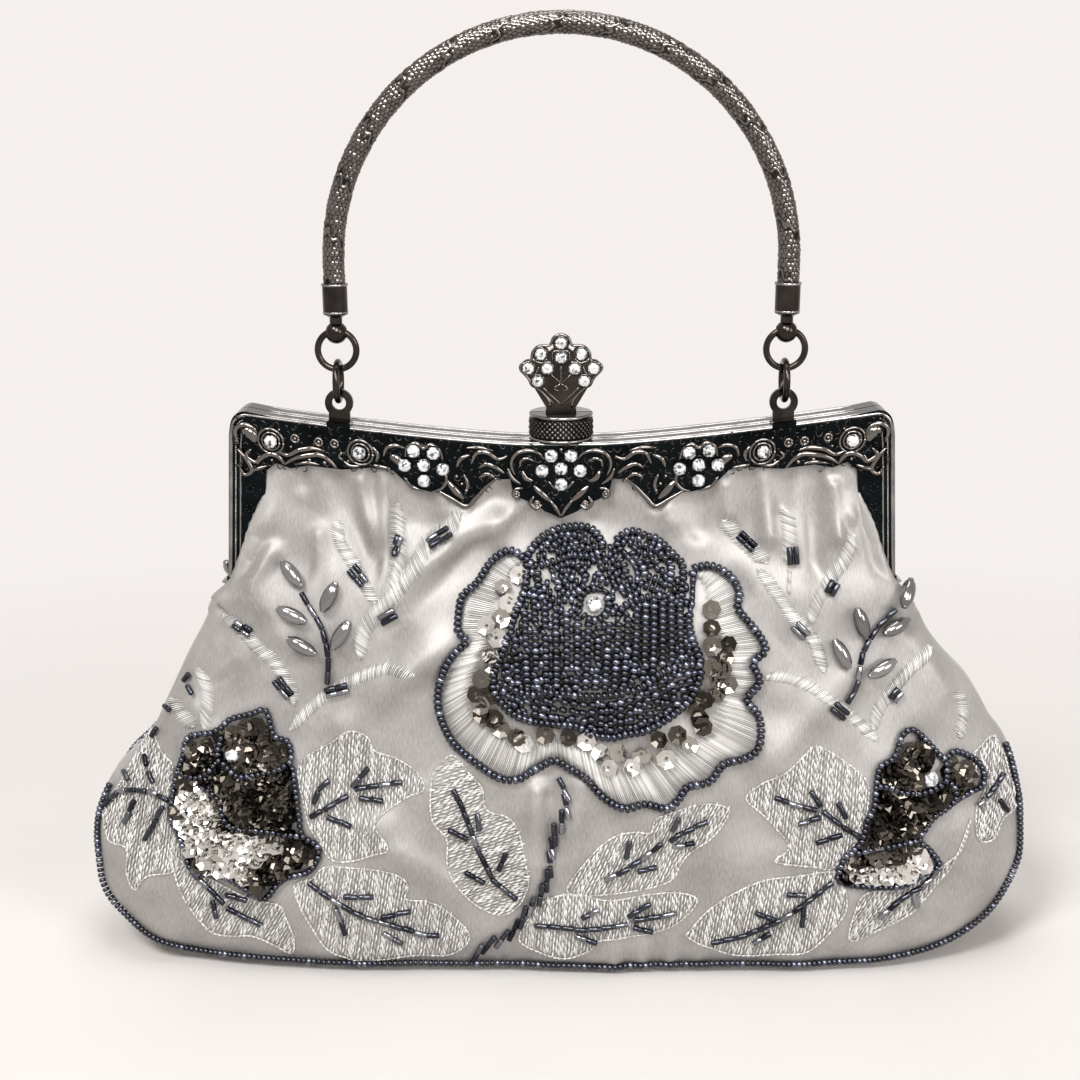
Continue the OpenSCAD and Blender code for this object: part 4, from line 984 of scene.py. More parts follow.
RICE_PEARLS = [
    [(-77, 115), (-71.5, 108.5)], [(-61.5, 110.5), (-65.5, 102.5)], [(-78.5, 103.5), (-69.5, 99.5)],
    [(-58, 100.5), (-63, 92.5)], [(-75.5, 95.5), (-67, 91)], [(92.5, 101.5), (97, 109.5)],
    [(81, 103), (83.5, 95)], [(87.5, 95), (96.5, 98.5)], [(75, 94.5), (79.5, 86)],
    [(83.5, 84), (92.5, 88.5)]]
PEARL_STEMS = [
    [(-71.5, 107.5), (-68.5, 102.5), (-66, 98.5), (-64.5, 92), (-64.5, 87), (-65, 82.5)],
    [(92.5, 102), (88, 98), (85.5, 95), (83, 90), (82, 84.5), (80.5, 80), (78.5, 77)]]

# Leaves: outline, slant of the stitches in degrees, veins of bugles
LEAVES = [
    ([(-30, 63), (-25, 58), (-22, 54), (-21, 48), (-15, 46), (-12, 42), (-10, 34), (-9, 28), (-10, 24),
      (-12, 20), (-17, 17), (-24, 20), (-29, 26), (-32, 32), (-32, 40), (-36, 46), (-36, 56), (-34, 60)],
     20,
     [[(-30, 54.5), (-26, 45), (-23, 37), (-19.5, 29)], [(-19.5, 28.5), (-16, 25), (-12.5, 22)],
      [(-31.5, 43.5), (-26, 40.5)], [(-23.5, 47.5), (-23, 42.5)], [(-15.5, 36.5), (-17.5, 31)],
      [(-27, 30.5), (-21.5, 27)]]),
    ([(2, 24), (4, 30), (8, 35), (14, 40), (20, 42), (25, 42), (26, 46), (32, 48), (40, 50), (46, 49),
      (46, 46), (42, 40), (36, 36), (33, 32), (31, 28), (25, 26), (14, 24)], 65,
     [[(12, 28.5), (18.5, 32), (22, 34), (28, 39)], [(30, 39.5), (33.5, 42), (40.5, 45)],
      [(19, 39.5), (18, 34.5)], [(32.5, 46.5), (30.5, 42.5)], [(21, 31), (26.5, 32)],
      [(31.5, 38), (37, 39)]]),
    ([(-12, 10), (-8, 18), (-4, 22), (4, 24), (14, 22), (25, 24), (32, 24), (38, 22), (36, 18), (31, 14),
      (25, 12), (18, 11), (10, 10), (8, 7), (1, 4), (-6, 6)], 85,
     [[(-7.5, 14.5), (2.5, 14.5), (11.5, 14.5), (18.5, 15.5)], [(20, 16.5), (27.5, 17.5), (32, 18.5)],
      [(5.5, 17.5), (10.5, 20)], [(4, 12.5), (10, 10)], [(18.5, 17.5), (25, 21.5)],
      [(20, 14.5), (25.5, 12.5)]]),
    ([(-66, 32), (-58, 32), (-46, 30), (-43, 26), (-44, 22), (-37, 21), (-32, 18), (-26, 10), (-32, 4),
      (-42, 4), (-57, 2.5), (-66, 6), (-71, 14), (-74, 21), (-75, 26), (-70, 28)], 80,
     [[(-70.5, 27.5), (-63.5, 23), (-57, 18.5), (-48.5, 15), (-39.5, 11.5), (-34.5, 11)],
      [(-61, 24.5), (-52.5, 24)], [(-63.5, 20), (-61, 11.5)], [(-51, 17.5), (-42.5, 18.5)],
      [(-50.5, 12.5), (-45, 8.5)]]),
    ([(36, 12.5), (42, 19), (53.5, 26.5), (65.5, 28.5), (76.5, 29.5), (80, 21.5), (77.5, 14.5), (70, 6),
      (61.5, 5), (48.5, 4.5), (36, 10.5)], 80,
     [[(42, 9), (50, 10.5), (55.5, 13), (66, 19.5), (76, 27)], [(63, 23.5), (68.5, 23.5)],
      [(54.5, 18.5), (60, 16.5)], [(68, 21), (67.5, 14)], [(54, 8.5), (59, 12)]]),
    ([(-73, 60), (-64, 66), (-59, 70), (-54, 68), (-52, 64), (-46, 62), (-40, 58), (-38, 54), (-42, 52),
      (-48, 48), (-52, 44), (-48, 38), (-52, 36), (-58, 34), (-64, 34), (-67, 38), (-70, 43), (-72, 50)],
     85,
     [[(-70, 46), (-64.5, 49), (-59.5, 51.5)], [(-57.5, 53.5), (-52, 54.5), (-44, 55.5)],
      [(-58.5, 54), (-53.5, 59.5)], [(-56.5, 51), (-49.5, 50)], [(-69, 49.5), (-67.5, 53.5), (-64.5, 56)],
      [(-65.5, 46), (-58.5, 43)]]),
    ([(51, 51.5), (55, 55), (62, 58.5), (67, 63), (70.5, 65.5), (76.5, 62.5), (82, 58.5), (85, 55),
      (85, 49.5), (83, 40.5), (76, 31), (71, 31.5), (59.5, 33), (63.5, 37), (59, 43.5), (55.5, 47)], 85,
     [[(59, 51.5), (65, 49.5), (71, 48)], [(72.5, 48), (77, 44.5), (83, 40.5)], [(69, 53.5), (72, 49)],
      [(76.5, 50.5), (79, 46)], [(65.5, 44), (72, 46)], [(70.5, 39), (78, 41.5)]]),
    ([(-110, 29), (-108, 22), (-105, 16), (-100, 10), (-94, 9), (-88, 9), (-81, 6), (-77, 4), (-76, 9),
      (-78, 16), (-80, 20), (-91, 22), (-104, 29), (-110, 32)], 60,
     [[(-104.5, 29), (-101.5, 25.5), (-95.5, 19)], [(-95, 22), (-88.5, 21)], [(-99, 20), (-98, 14.5)],
      [(-95, 18), (-90, 15.5), (-85, 13)]]),
    ([(81.5, 9), (83, 20.5), (86.5, 24), (94, 24), (101.5, 26.5), (107, 29.5), (112.5, 33.5), (115, 42.5),
      (110.5, 30), (104.5, 23), (99, 16.5), (90, 12)], 60,
     [[(89, 16), (96, 22), (102.5, 25.5), (106, 30)], [(98.5, 23.5), (100, 18.5)]]),
    ([(-122, 60), (-118, 63), (-114, 60), (-110, 58), (-110, 54), (-109, 41), (-108, 34), (-110, 28),
      (-118, 26), (-122, 21), (-124, 26), (-124, 33), (-130, 34), (-132, 39), (-133, 42), (-129, 46),
      (-125, 52), (-122, 58)], 80,
     [[(-131, 42), (-127.5, 46.5), (-121.5, 49), (-116, 49.5), (-110.5, 48)],
      [(-119.5, 58), (-115, 51.5)], [(-126, 53), (-122.5, 50.5)], [(-121, 46.5), (-124.5, 39.5)],
      [(-112, 46.5), (-118, 36)]]),
    ([(115, 58), (119, 62), (123, 63), (126, 58), (128, 52), (130, 47), (131, 42), (126, 40), (123, 35),
      (118, 36), (117, 44), (120, 51)], 80,
     [[(121, 48.5), (125.5, 53.5)], [(122.5, 49.5), (117, 45.5)], [(124, 46), (127, 42)]])]
EDGE_BUGLES = [
    [(-113.5, 71.5), (-110, 71)], [(-119.5, 63.5), (-117, 66)], [(-104.5, 82), (-106.5, 79.5)],
    [(-105.5, 79), (-103.5, 76.5)]]
STEM = [
    (0, 58.5), (1.5, 49.5), (-1.5, 41.5), (-3.5, 32), (-5.5, 25.5), (-10, 18), (-15, 11.5), (-21.5, 7.5),
    (-27, 2)]

# Buds: outline, beaded lines within, stones, and the glint zone where the sequins are painted bright as a
# painted highlight
BUDS = [
    ([(-82, 75), (-86, 74), (-92, 72), (-96, 69), (-104, 66), (-106, 61), (-108, 56), (-109, 52),
      (-110, 44), (-108, 40), (-106, 34), (-104, 29), (-96, 28), (-91, 26), (-84, 22), (-80, 26),
      (-77, 28), (-71, 30), (-68, 34), (-68, 38), (-72, 41), (-73, 46), (-74, 53), (-75, 60), (-76, 66),
      (-80, 68)],
     [[(-95, 67), (-96, 62), (-94, 59), (-90, 56), (-84, 57), (-78, 59), (-75, 62)],
      [(-108, 56), (-104, 55), (-100, 56), (-96, 60)],
      [(-100, 53), (-96, 50), (-94, 44), (-90, 42), (-84, 42), (-72, 41)]], [(-92, 62, 2.2)],
     [(-108, 52), (-98, 54), (-95, 43), (-78, 40), (-82, 34), (-90, 26), (-98, 29), (-106, 36)]),
    ([(97.5, 69), (101, 66), (104.5, 62), (107, 60), (110, 61.5), (114, 60), (117.5, 57.5), (119, 54),
      (118.5, 51), (114, 49.5), (110, 48), (107, 46), (104, 44), (102, 41), (100, 38), (103, 35),
      (106, 30.5), (101.5, 28.5), (95.5, 25.5), (87.5, 25.5), (78, 27), (78, 31.5), (79.5, 35), (83, 38),
      (84, 41.5), (84.5, 45), (86.5, 48.5), (87, 53), (87.5, 57), (88.5, 60), (92, 62), (94.5, 67.5)],
     [[(79.5, 35), (83.5, 36), (89, 37), (95, 37.5), (100, 38)], [(107, 54.5), (109.5, 52), (110, 49)],
      [(88, 54.5), (91.5, 54), (94.5, 52.5), (99, 52), (102.5, 52.5), (106.5, 54.5), (107, 58.5)]],
     [(102.5, 55.5, 2.4)], [(82, 27.5), (83, 33), (95, 32.5), (104, 36.5), (108.5, 32.5), (99, 28.5)])]

# Where the satin shows between the beads, and the outline above the beaded middle
OPEN_SPOTS = [
    (-5, 111.5, 1.3), (8, 113, 1.3), (16, 105.5, 1.9), (2, 104.5, 1.3), (34.5, 106, 1.3), (9, 104.5, 3.6)]
MIDDLE_TOP = [
    (33.5, 113), (31.5, 116.5), (26, 121.5), (21.5, 123), (17, 122), (15, 119.5), (12, 119), (11, 120.5),
    (7.5, 124), (3, 124.5), (-2.5, 123), (-8, 118.5)]

# How far the middles of beads and sequins stand off the cloth
BEAD_LIFT = 1.0
SEQUIN_LIFT = 0.7
# Sequins in a bud overlap like tiles; rows, and discs along a row, are this far apart
ROW_APART = 2.5
DISC_APART = 2.9


def ring_of(points, step=0.5):
    """A closed smooth line through points."""
    return curve(points, closed=True, step=step)


def part_way(a, b, count, start=0.0, end=1.0):
    """Points at equal shares along two lines, as pairs."""
    pairs = []
    parts = 400
    for line in (a, b):
        fine = spaced(line, count=parts)
        at = np.linspace(start, end, count) * (parts - 1)
        pairs.append(np.stack([np.interp(at, np.arange(parts), fine[:, k]) for k in (0, 1)], axis=1))
    return list(zip(*pairs))


def flower_strings():
    """Every string of beads in the flower, nearest the middle of the design first."""
    side = curve(FIELD_SIDE, step=0.5)
    smile = curve(SMILE, step=0.5)
    head = curve(FIELD_HEAD, step=0.5)
    strings = [curve(FLOWER_EDGE), side, smile]
    for shape in (LOBE_LEFT, LOBE_RIGHT):
        ring = ring_of(shape)
        centre = ring.mean(0)
        strings.append(ring)
        reach = distance(shape, [centre])[0]
        for inset in np.arange(2.4, reach, 2.4):
            strings.append(centre + (ring - centre) * (1 - inset / (reach + 0.6)))
    strings += [curve(line) for line in SWIRLS]
    x, z, r = FLOWER_STONE
    strings.append(circle(x, z, r + 1.6, 40))
    for x in np.arange(-14.6, 36, 2.65):
        foot = np.interp(x, smile[:, 0], smile[:, 1])
        top = np.interp(x, head[:, 0], head[:, 1])
        lean = 1.2 * math.sin(x / 9)
        upright = curve([(x, foot + 2.4), (x + lean * 0.5, (foot + top) / 2), (x + lean, top)])
        clear = np.linalg.norm(upright[:, None] - side[None], axis=2).min(axis=1) > 2.3
        if clear.sum() > 3:
            strings.append(upright[clear])
    low = [p for p in side if p[1] < 84.4]
    for a, b in part_way(smile, low, 24, 0.015, 0.985):
        length = np.linalg.norm(b - a)
        if length > 4:
            strings.append(np.linspace(a + (b - a) * 2.2 / length, b - (b - a) * 2.1 / length, 8))
    return strings + filling(strings)


def filling(strings):
    """Short rows of beads that close what the drawn strings leave open in the flower's middle."""
    ring = ring_of(FIELD_SIDE + MIDDLE_TOP)
    taken = np.vstack([spaced(s, 0.8) for s in strings[1:]])
    rows = []
    # Each pass starts at its own height and goes closer to the beads already strung
    for first, apart in ((70.0, 1.9), (71.1, 1.6), (70.5, 1.35), (71.6, 1.15), (70.9, 1.05)):
        for k, z in enumerate(np.arange(first, 125, 2.2)):
            x = np.arange(-20, 39, 1.62) + (k % 2) * 0.8
            spots = joined(x, z)
            ok = inside(ring, spots) & (distance(ring, spots) > 0.9)
            ok &= np.linalg.norm(spots[:, None] - taken[None], axis=2).min(axis=1) > apart
            for cx, cz, r in OPEN_SPOTS:
                ok &= np.hypot(x - cx, z - cz) > r
            for group in np.split(np.arange(len(x)), np.flatnonzero(np.diff(ok.astype(int))) + 1):
                if ok[group[0]]:
                    row = spots[group]
                    rows.append(np.vstack([row, row[-1] + (0.2, 0)]))
                    taken = np.vstack([taken, row])
    return rows


def stitch(a, b, rise, tilt=0.0):
    """A thread from a to b with a gentle arch, as flat points and their lifts."""
    a = np.asarray(a, float)
    b = np.asarray(b, float)
    path = [a + (b - a) * t for t in (0.0, 0.3, 0.7, 1.0)]
    return path, [0.05 + tilt, rise + tilt, rise + tilt, 0.05 + tilt]


def petal_stitches(rng):
    """Satin stitches side by side from the bead edge towards the beaded middle."""
    edge = curve(FLOWER_EDGE, step=0.5)
    side = curve(FIELD_SIDE, step=0.5)
    made = []
    count = int(len(edge) * 0.84)
    for a, b in part_way(edge, side, count, 0.004, 0.996):
        way = (b - a) / max(np.linalg.norm(b - a), 1e-6)
        length = np.linalg.norm(b - a) * 0.62 * rng.uniform(0.88, 1.1)
        if length > 2.6:
            made.append(stitch(a + way * 1.1, a + way * length, 0.55))
    return made


def spray_stitches(spine, half, rng):
    """Slanting satin stitches across a spine, tapered at both ends."""
    line = curve(spine, step=0.52)
    along = unit(np.gradient(line, axis=0))
    share = np.linspace(0, 1, len(line))
    made = []
    for p, d, t in zip(line, along, share):
        width = half * min(1, 0.3 + 2.6 * math.sin(math.pi * t) ** 0.8) * rng.uniform(0.88, 1.08)
        across = np.array([-d[1], d[0]])
        slant = across * width + d * width * 0.55
        made.append(stitch(p - slant, p + slant, 0.5))
    return made


def leaf_stitches(outline, angle, rng):
    """Rows of short stitches inside an outline, brick fashion, and a thin running line round it."""
    ring = ring_of(outline, 1.4)
    a = math.radians(angle)
    d = np.array([math.cos(a), math.sin(a)])
    n = np.array([-math.sin(a), math.cos(a)])
    low = (ring @ n).min()
    high = (ring @ n).max()
    first = (ring @ d).min()
    last = (ring @ d).max()
    made = []
    for row, h in enumerate(np.arange(low, high, 0.62)):
        starts = first + (row % 3) * 0.8 + np.arange(0, last - first, 2.4) + rng.uniform(-0.3, 0.3)
        wave = 0.35 * math.sin(row * 0.9)
        mids = starts[:, None] * d + (h + wave) * n + d * 1.1
        ok = inside(ring, mids) & (distance(ring, mids) > 0.35)
        for start in starts[ok]:
            lean = rng.uniform(-0.18, 0.18)
            p = start * d + (h + wave - lean) * n
            q = (start + rng.uniform(2.0, 2.5)) * d + (h + wave + lean) * n
            made.append(stitch(p, q, 0.42))
    made += [stitch(p, q, 0.34, 0.05) for p, q in zip(ring[:-1], ring[1:])]
    return made


def bugle_run(line, places, cloth, rng, offset=0.0):
    """Bugle beads threaded end to end along a line."""
    path = curve(line, step=0.25)
    length = np.linalg.norm(np.diff(path, axis=0), axis=1).sum()
    count = max(1, int(round(length / BUGLE_L)))
    ends = spaced(path, count=count + 1)
    for a, b in zip(ends[:-1], ends[1:]):
        way = (b - a) / np.linalg.norm(b - a)
        mid = (a + b) / 2 + np.array([-way[1], way[0]]) * (offset + rng.uniform(-0.12, 0.12))
        p, q = (cloth.at(*(mid + way * s))[0] for s in (-1.4, 1.4))
        point, facing = cloth.at(*mid, lift=0.35 + BUGLE_R)
        size = (np.linalg.norm(b - a) - 0.15) / BUGLE_L
        places.append((point, facing, q - p, (size, 1, 1), rng.uniform(0, 1)))


def bored(profile, sides):
    """Faces of a turned piece with a thread hole through it."""
    faces = grid_faces(len(profile), sides, around=True, turned=True)
    last = (len(profile) - 1) * sides
    return faces + [(j, (j + 1) % sides, last + (j + 1) % sides, last + j) for j in range(sides)]


def bugle_bead():
    """A glass tube cut square, lying along X, open at its thread hole."""
    sides = 8
    length = BUGLE_L
    radius = BUGLE_R
    hole = 0.35 * radius
    rim = 0.86 * radius
    profile = [(hole, 0.5), (rim, 0.5), (radius, 0.45), (radius, -0.45), (rim, -0.5), (hole, -0.5)]
    points = [(h * length, r * math.cos(t), r * math.sin(t)) for r, h in profile
              for t in angles(sides)]
    return np.array(points), bored(profile, sides)


def rice_bead():
    """A long oval pearl with a smooth lacquered skin, lying along X."""
    rings = 13
    sides = 16
    shares = np.sin(np.linspace(-math.pi / 2, math.pi / 2, rings))
    points = [(s * PEARL_L / 2, r * math.cos(t), r * math.sin(t))
              for s in shares for r in [PEARL_R * max(0.16, (1 - abs(s) ** 2.2)) ** 0.5]
              for t in angles(sides)]
    return np.array(points), tube_faces(rings, sides)


def sequin():
    """A cupped faceted disc of film with a thread hole, hollow side up."""
    sides = 7
    profile = [(0.55, 0.05), (1.3, 0.1), (SEQUIN_R, 0.95), (SEQUIN_R, 0.83), (1.3, -0.02), (0.55, -0.06)]
    return ring_points(profile, sides), bored(profile, sides)


def cut_stone():
    """A brilliant-cut stone of radius one: flat table, kite facets and a girdle, on a closed back."""
    sides = 8
    rings = [(0.42, 0.6, 0.5), (0.74, 0.46, 0.0), (0.96, 0.18, 0.5), (1.0, 0.0, 0.5), (0.7, -0.25, 0.0)]
    points = [(r * math.cos(t), r * math.sin(t), h) for r, h, k in rings
              for t in (np.arange(sides) + k) * 2 * math.pi / sides]
    faces = grid_faces(len(rings), sides, around=True, turned=True)
    faces += [tuple(range(sides)), tuple(range(4 * sides, 5 * sides))[::-1]]
    return np.array(points), faces


def tilted(normal, rng, most):
    """A direction near the normal."""
    return unit(normal + rng.uniform(-most, most, 3))


def beads_of_bud(bud, cloth, rng, places):
    """Overlapping sequins in a bud, each tilted on its own thread."""
    outline, lines, stones, bright = bud
    ring = ring_of(outline)
    low = ring.min(0)
    high = ring.max(0)
    for row, z in enumerate(np.arange(low[1] + 1, high[1], ROW_APART)):
        for x in np.arange(low[0] + 1 + (row % 2) * DISC_APART / 2, high[0], DISC_APART):
            spot = np.array([x, z]) + rng.uniform(-0.5, 0.5, 2)
            if not inside(ring, [spot])[0] or distance(ring, [spot])[0] < 1.9:
                continue
            if any(math.hypot(spot[0] - s[0], spot[1] - s[1]) < s[2] + 1.6 for s in stones):
                continue
            point, facing = cloth.at(*spot, lift=SEQUIN_LIFT + rng.uniform(0, 0.35))
            # Inside the glint zone the sequins get pale tones, a painted highlight, and lie more evenly
            in_painted_glint = inside(bright, [spot])[0]
            tone = rng.uniform(0.8, 1.0) if in_painted_glint else rng.uniform(0.15, 0.55)
            shingled = tilted(facing + [0, 0, 0.3], rng, 0.12 if in_painted_glint else 0.25)
            places.append((point, shingled, (1, rng.uniform(-0.3, 0.3), 0), rng.uniform(0.86, 0.98), tone))


for side in (FRONT, REAR):
    label = SIDE_NAME[side]
    cloth = fabric[side]
    rng = np.random.default_rng(11 + side)
    strings = [cloth.lay(path, BEAD_LIFT) for path in flower_strings()]
    flower = [label + "_flower_beads", label + "_flower_top"]
    leaves = [label + "_leaves"]
    strung = beads(label + "_flower_bead_strings", strings, pitch=1.6, radius=1.38, seed=5)
    sew_on(strung, side, "seed_beads", *flower)

    sprays = (s for spine, half in SPRAYS for s in spray_stitches(spine, half, rng))
    fillings = (s for outline, angle, _ in LEAVES for s in leaf_stitches(outline, angle, rng))
    for piece, work, thickness, nodes in (("_petal_stitches", petal_stitches(rng), 0.5, flower),
                                          ("_spray_stitches", sprays, 0.5, leaves),
                                          ("_leaf_stitches", fillings, 0.6, leaves)):
        laid = [cloth.lay(path, lifts) for path, lifts in work]
        sew_on(threads(label + piece, laid, thickness, seed=3), side, "thread", *nodes)

    tubes = []
    for line in PEARL_STEMS + EDGE_BUGLES + [v for leaf in LEAVES for v in leaf[2]]:
        bugle_run(line, tubes, cloth, rng)
    for line in SPRAY_BUGLES:
        for offset in (-0.85, 0.85):
            bugle_run(line, tubes, cloth, rng, offset)
    stem = spaced(curve(STEM), 4.4)
    for spot, way in zip(stem[1:-1], unit(stem[2:] - stem[:-2])):
        slant = way + 0.36 * np.array([-way[1], way[0]])
        bugle_run([spot - 3.5 * unit(slant), spot + 3.5 * unit(slant)], tubes, cloth, rng)
    bugles = sewn(label + "_bugle_beads", bugle_bead(), tubes, BUGLE_GLASS)
    sew_on(bugles, side, "seed_beads", label + "_stem_bugles")

    rice = []
    for a, b in RICE_PEARLS:
        mid = (np.array(a) + b) / 2
        point, facing = cloth.at(*mid, lift=PEARL_R + 0.1)
        rice.append((point, facing, cloth.at(*b)[0] - cloth.at(*a)[0], 1.0, rng.uniform(0, 1)))
    pearls = sewn(label + "_rice_pearls", rice_bead(), rice, PEARL_COAT)
    sew_on(pearls, side, "pearl", label + "_pearl_sprigs")

    discs = []
    for x, z in PAILLETTES:
        point, facing = cloth.at(x, z, lift=SEQUIN_LIFT + rng.uniform(0.2, 0.6))
        silver = z < 68 or (x < 0 and z > 90)
        tone = rng.uniform(0.75, 1.0) if silver else rng.uniform(0.25, 0.65)
        leaning = tilted(facing, rng, 0.3)
        discs.append((point, leaning, (1, rng.uniform(-1, 1), 0), rng.uniform(0.85, 1.0), tone))
    for bud in BUDS:
        beads_of_bud(bud, cloth, rng, discs)
    sequins = sewn(label + "_cup_sequins", sequin(), discs, SEQUIN_FOIL, smoothed=False)
    sew_on(sequins, side, "sequins", label + "_buds")

    borders = []
    for outline, lines, _, _ in BUDS:
        borders.append(cloth.lay(ring_of(outline), BEAD_LIFT))
        borders += [cloth.lay(curve(line), BEAD_LIFT + 0.5) for line in lines]
    strung = beads(label + "_bud_bead_strings", borders, pitch=1.6, radius=1.05, seed=6)
    sew_on(strung, side, "seed_beads", label + "_buds")

    stones = []
    for x, z, r in [FLOWER_STONE] + [s for bud in BUDS for s in bud[2]]:
        point, facing = cloth.at(x, z, lift=1.1)
        stones.append((point, facing, (1, 0, 0), r, rng.uniform(0, 1)))
    crystals = sewn(label + "_sewn_crystals", cut_stone(), stones, FOILED_CRYSTAL, smoothed=False)
    sew_on(crystals, side, "crystal", label + "_crystals")


# ---- inside of the bag ----

for side in (FRONT, REAR):
    label = SIDE_NAME[side]
    grid, uv = cloth_grid(side, inset=2.3, step=3.0, half_cols=50, creased=False, tucked=True, head=88)
    wadding = cloth_piece(label + "_wadding", side, WADDING, grid, uv, 1.0)
    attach(wadding, "bag")
    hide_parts("pouch_wadding")
    grid, uv = cloth_grid(side, inset=4.0, step=2.0, half_cols=70, creased=False, tucked=True)
    lining = cloth_piece(label + "_lining", side, LINING, grid, uv, 0.35)
    sew_on(lining, side, "lining", label + "_panel_lining", "pouch_lining")


def pocket_patch():
    """A patch pocket laid on the rear lining, and the line it is stitched along."""
    grid, _ = cloth_grid(REAR, inset=4.7, step=2.0, half_cols=70, creased=False, tucked=True)
    wall = Fabric(REAR, grid)
    across = np.linspace(48, -48, 49)
    up = np.linspace(24, 78, 28)
    sheet = np.array([[wall.at(x, z)[0] for x in across] for z in up])
    uv = np.array([[(x, z) for x in across] for z in up])
    patch = cloth_piece("pocket_patch", REAR, LINING, sheet, uv, 0.35)
    hem = [(46, 77), (46, 27), (-46, 27), (-46, 77)]
    line = spaced(np.array(hem, float), 1.6)
    stitches = [wall.lay([a, a + (b - a) * 0.5, a + (b - a) * 0.8], -0.45)
                for a, b in zip(line[:-1], line[1:])]
    return patch, threads("pocket_stitches", stitches, thickness=0.3, seed=12)


patch, stitches = pocket_patch()
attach(patch, "bag")
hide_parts("inner_pocket")
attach(stitches, "bag")

# ---- beaded edging along the seam ----

EDGING = [
    (-136, 47), (-136.5, 38), (-135.5, 27), (-132, 18), (-126, 11.5), (-119, 7), (-110, 4), (-98, 2.6),
    (-80, 2.2), (-40, 2), (0, 2), (40, 2), (80, 2.2), (97, 2.8), (108, 5), (116, 8.5), (123, 13.5),
    (129, 21), (132.5, 30), (133, 40), (132, 50), (128.5, 60)]


def edging_line(cloth):
    """The seam's course on the cloth, as close to the silhouette as the string of beads lies."""
    made = []
    for x, z in curve(EDGING, step=1.0):
        left = x * -cloth.side < 0
        reach = flow(LEFT_HALF if left else RIGHT_HALF, z) - 2.2
        made.append(cloth.at(max(-reach, min(reach, x)), max(z, 1.2), 1.0)[0])
    made = np.array(made)
    for _ in range(4):
        made[1:-1] = (made[:-2] + 2 * made[1:-1] + made[2:]) / 4
    return made


for side in (FRONT, REAR):
    label = SIDE_NAME[side]
    line = edging_line(fabric[side])
    edging = beads(label + "_edging_bead_string", [line], pitch=1.45, radius=1.05, seed=8)
    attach(edging, "bag")
    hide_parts(label + "_edge_beads")


# ---- frame: rails, milled line, leg pattern, scrollwork ----

DOME = [(-1.0, 0.0), (-0.86, 0.5), (-0.5, 0.86), (0.0, 1.0), (0.5, 0.86), (0.86, 0.5), (1.0, 0.0)]
# Share of the crest colour across a stroke: painted shade at its foot, painted highlight on its top
DOME_RELIEF = [0.0, 0.55, 0.9, 1.0, 0.9, 0.55, 0.0]


def frame_line(inset, foot, step=1.2):
    """The frame's outline in (x, z) from one leg's foot over the top to the other."""
    zs = np.arange(foot, FRAME_H - CORNER_R - inset, 3.0)
    side = [(leg_x(z) - inset, z) for z in zs]
    x0 = HALF_TOP - inset
    z1 = top_z(HALF_TOP - CORNER_R) - inset
    bend = [(x0 - (CORNER_R - inset) * (1 - math.cos(a)), z1 - (CORNER_R - inset) * (1 - math.sin(a)))
            for a in np.linspace(0.1, math.pi / 2, 7)]
    top = [(x, top_z(x) - inset) for x in np.arange(HALF_TOP - CORNER_R - 2, 0, -3.0)]
    half = side + bend + top
    whole = np.array([(x, z) for x, z in half] + [(0, top_z(0) - inset)] + [(-x, z) for x, z in half[::-1]])
    return spaced(whole, step)


def strokes(name, runs, material, crest_paint=1.0):
    """Raised strokes as one piece; each run is (path, out, half width, height) along the path."""
    parts = []
    heights = []
    for path, out, wide, high in runs:
        parts.append(swept(path, DOME, out, wide, high))
        # Each point's share of the pale crest colour, which paints shade at a stroke's foot and a highlight
        # on its top
        heights += [crest_paint * share for share in DOME_RELIEF] * len(path)
    points, faces = pile(parts)
    made = mesh_piece(name, points, faces, material)
    mark(made, "relief", heights)
    return tidy(made, reach=0)


def metal(piece, parent, slot, *nodes):
    """A metal piece rides on a body; nodes are the ones it stands in for."""
    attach(piece, parent)
    if nodes:
        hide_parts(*nodes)
    return piece


def rails(side):
    """Rounded rails round the edge of a half frame."""
    runs = []
    # On the outer edge: distance from the middle plane, half width, height
    for depth, wide, high in ((5.75, 0.55, 0.42), (4.5, 0.3, 0.16), (1.1, 0.6, 0.4)):
        flat = frame_line(0.1, 105.5)
        outward = unit(joined(np.gradient(flat[:, 1]), -np.gradient(flat[:, 0])))
        path = joined(flat[:, 0], side * depth, flat[:, 1])
        out = joined(outward[:, 0], 0.0, outward[:, 1])
        runs.append((path, out, wide, high))
    # On the face: distance in from the outline, half width, height
    for inset, wide, high in ((0.5, 0.45, 0.3), (3.1, 0.28, 0.22)):
        flat = frame_line(inset, 105.5)
        path = joined(flat[:, 0], side * (FACE_Y - 0.05), flat[:, 1])
        runs.append((path, (0, side, 0), wide, high))
    return strokes(SIDE_NAME[side] + "_frame_rails", runs, GREY_NICKEL)


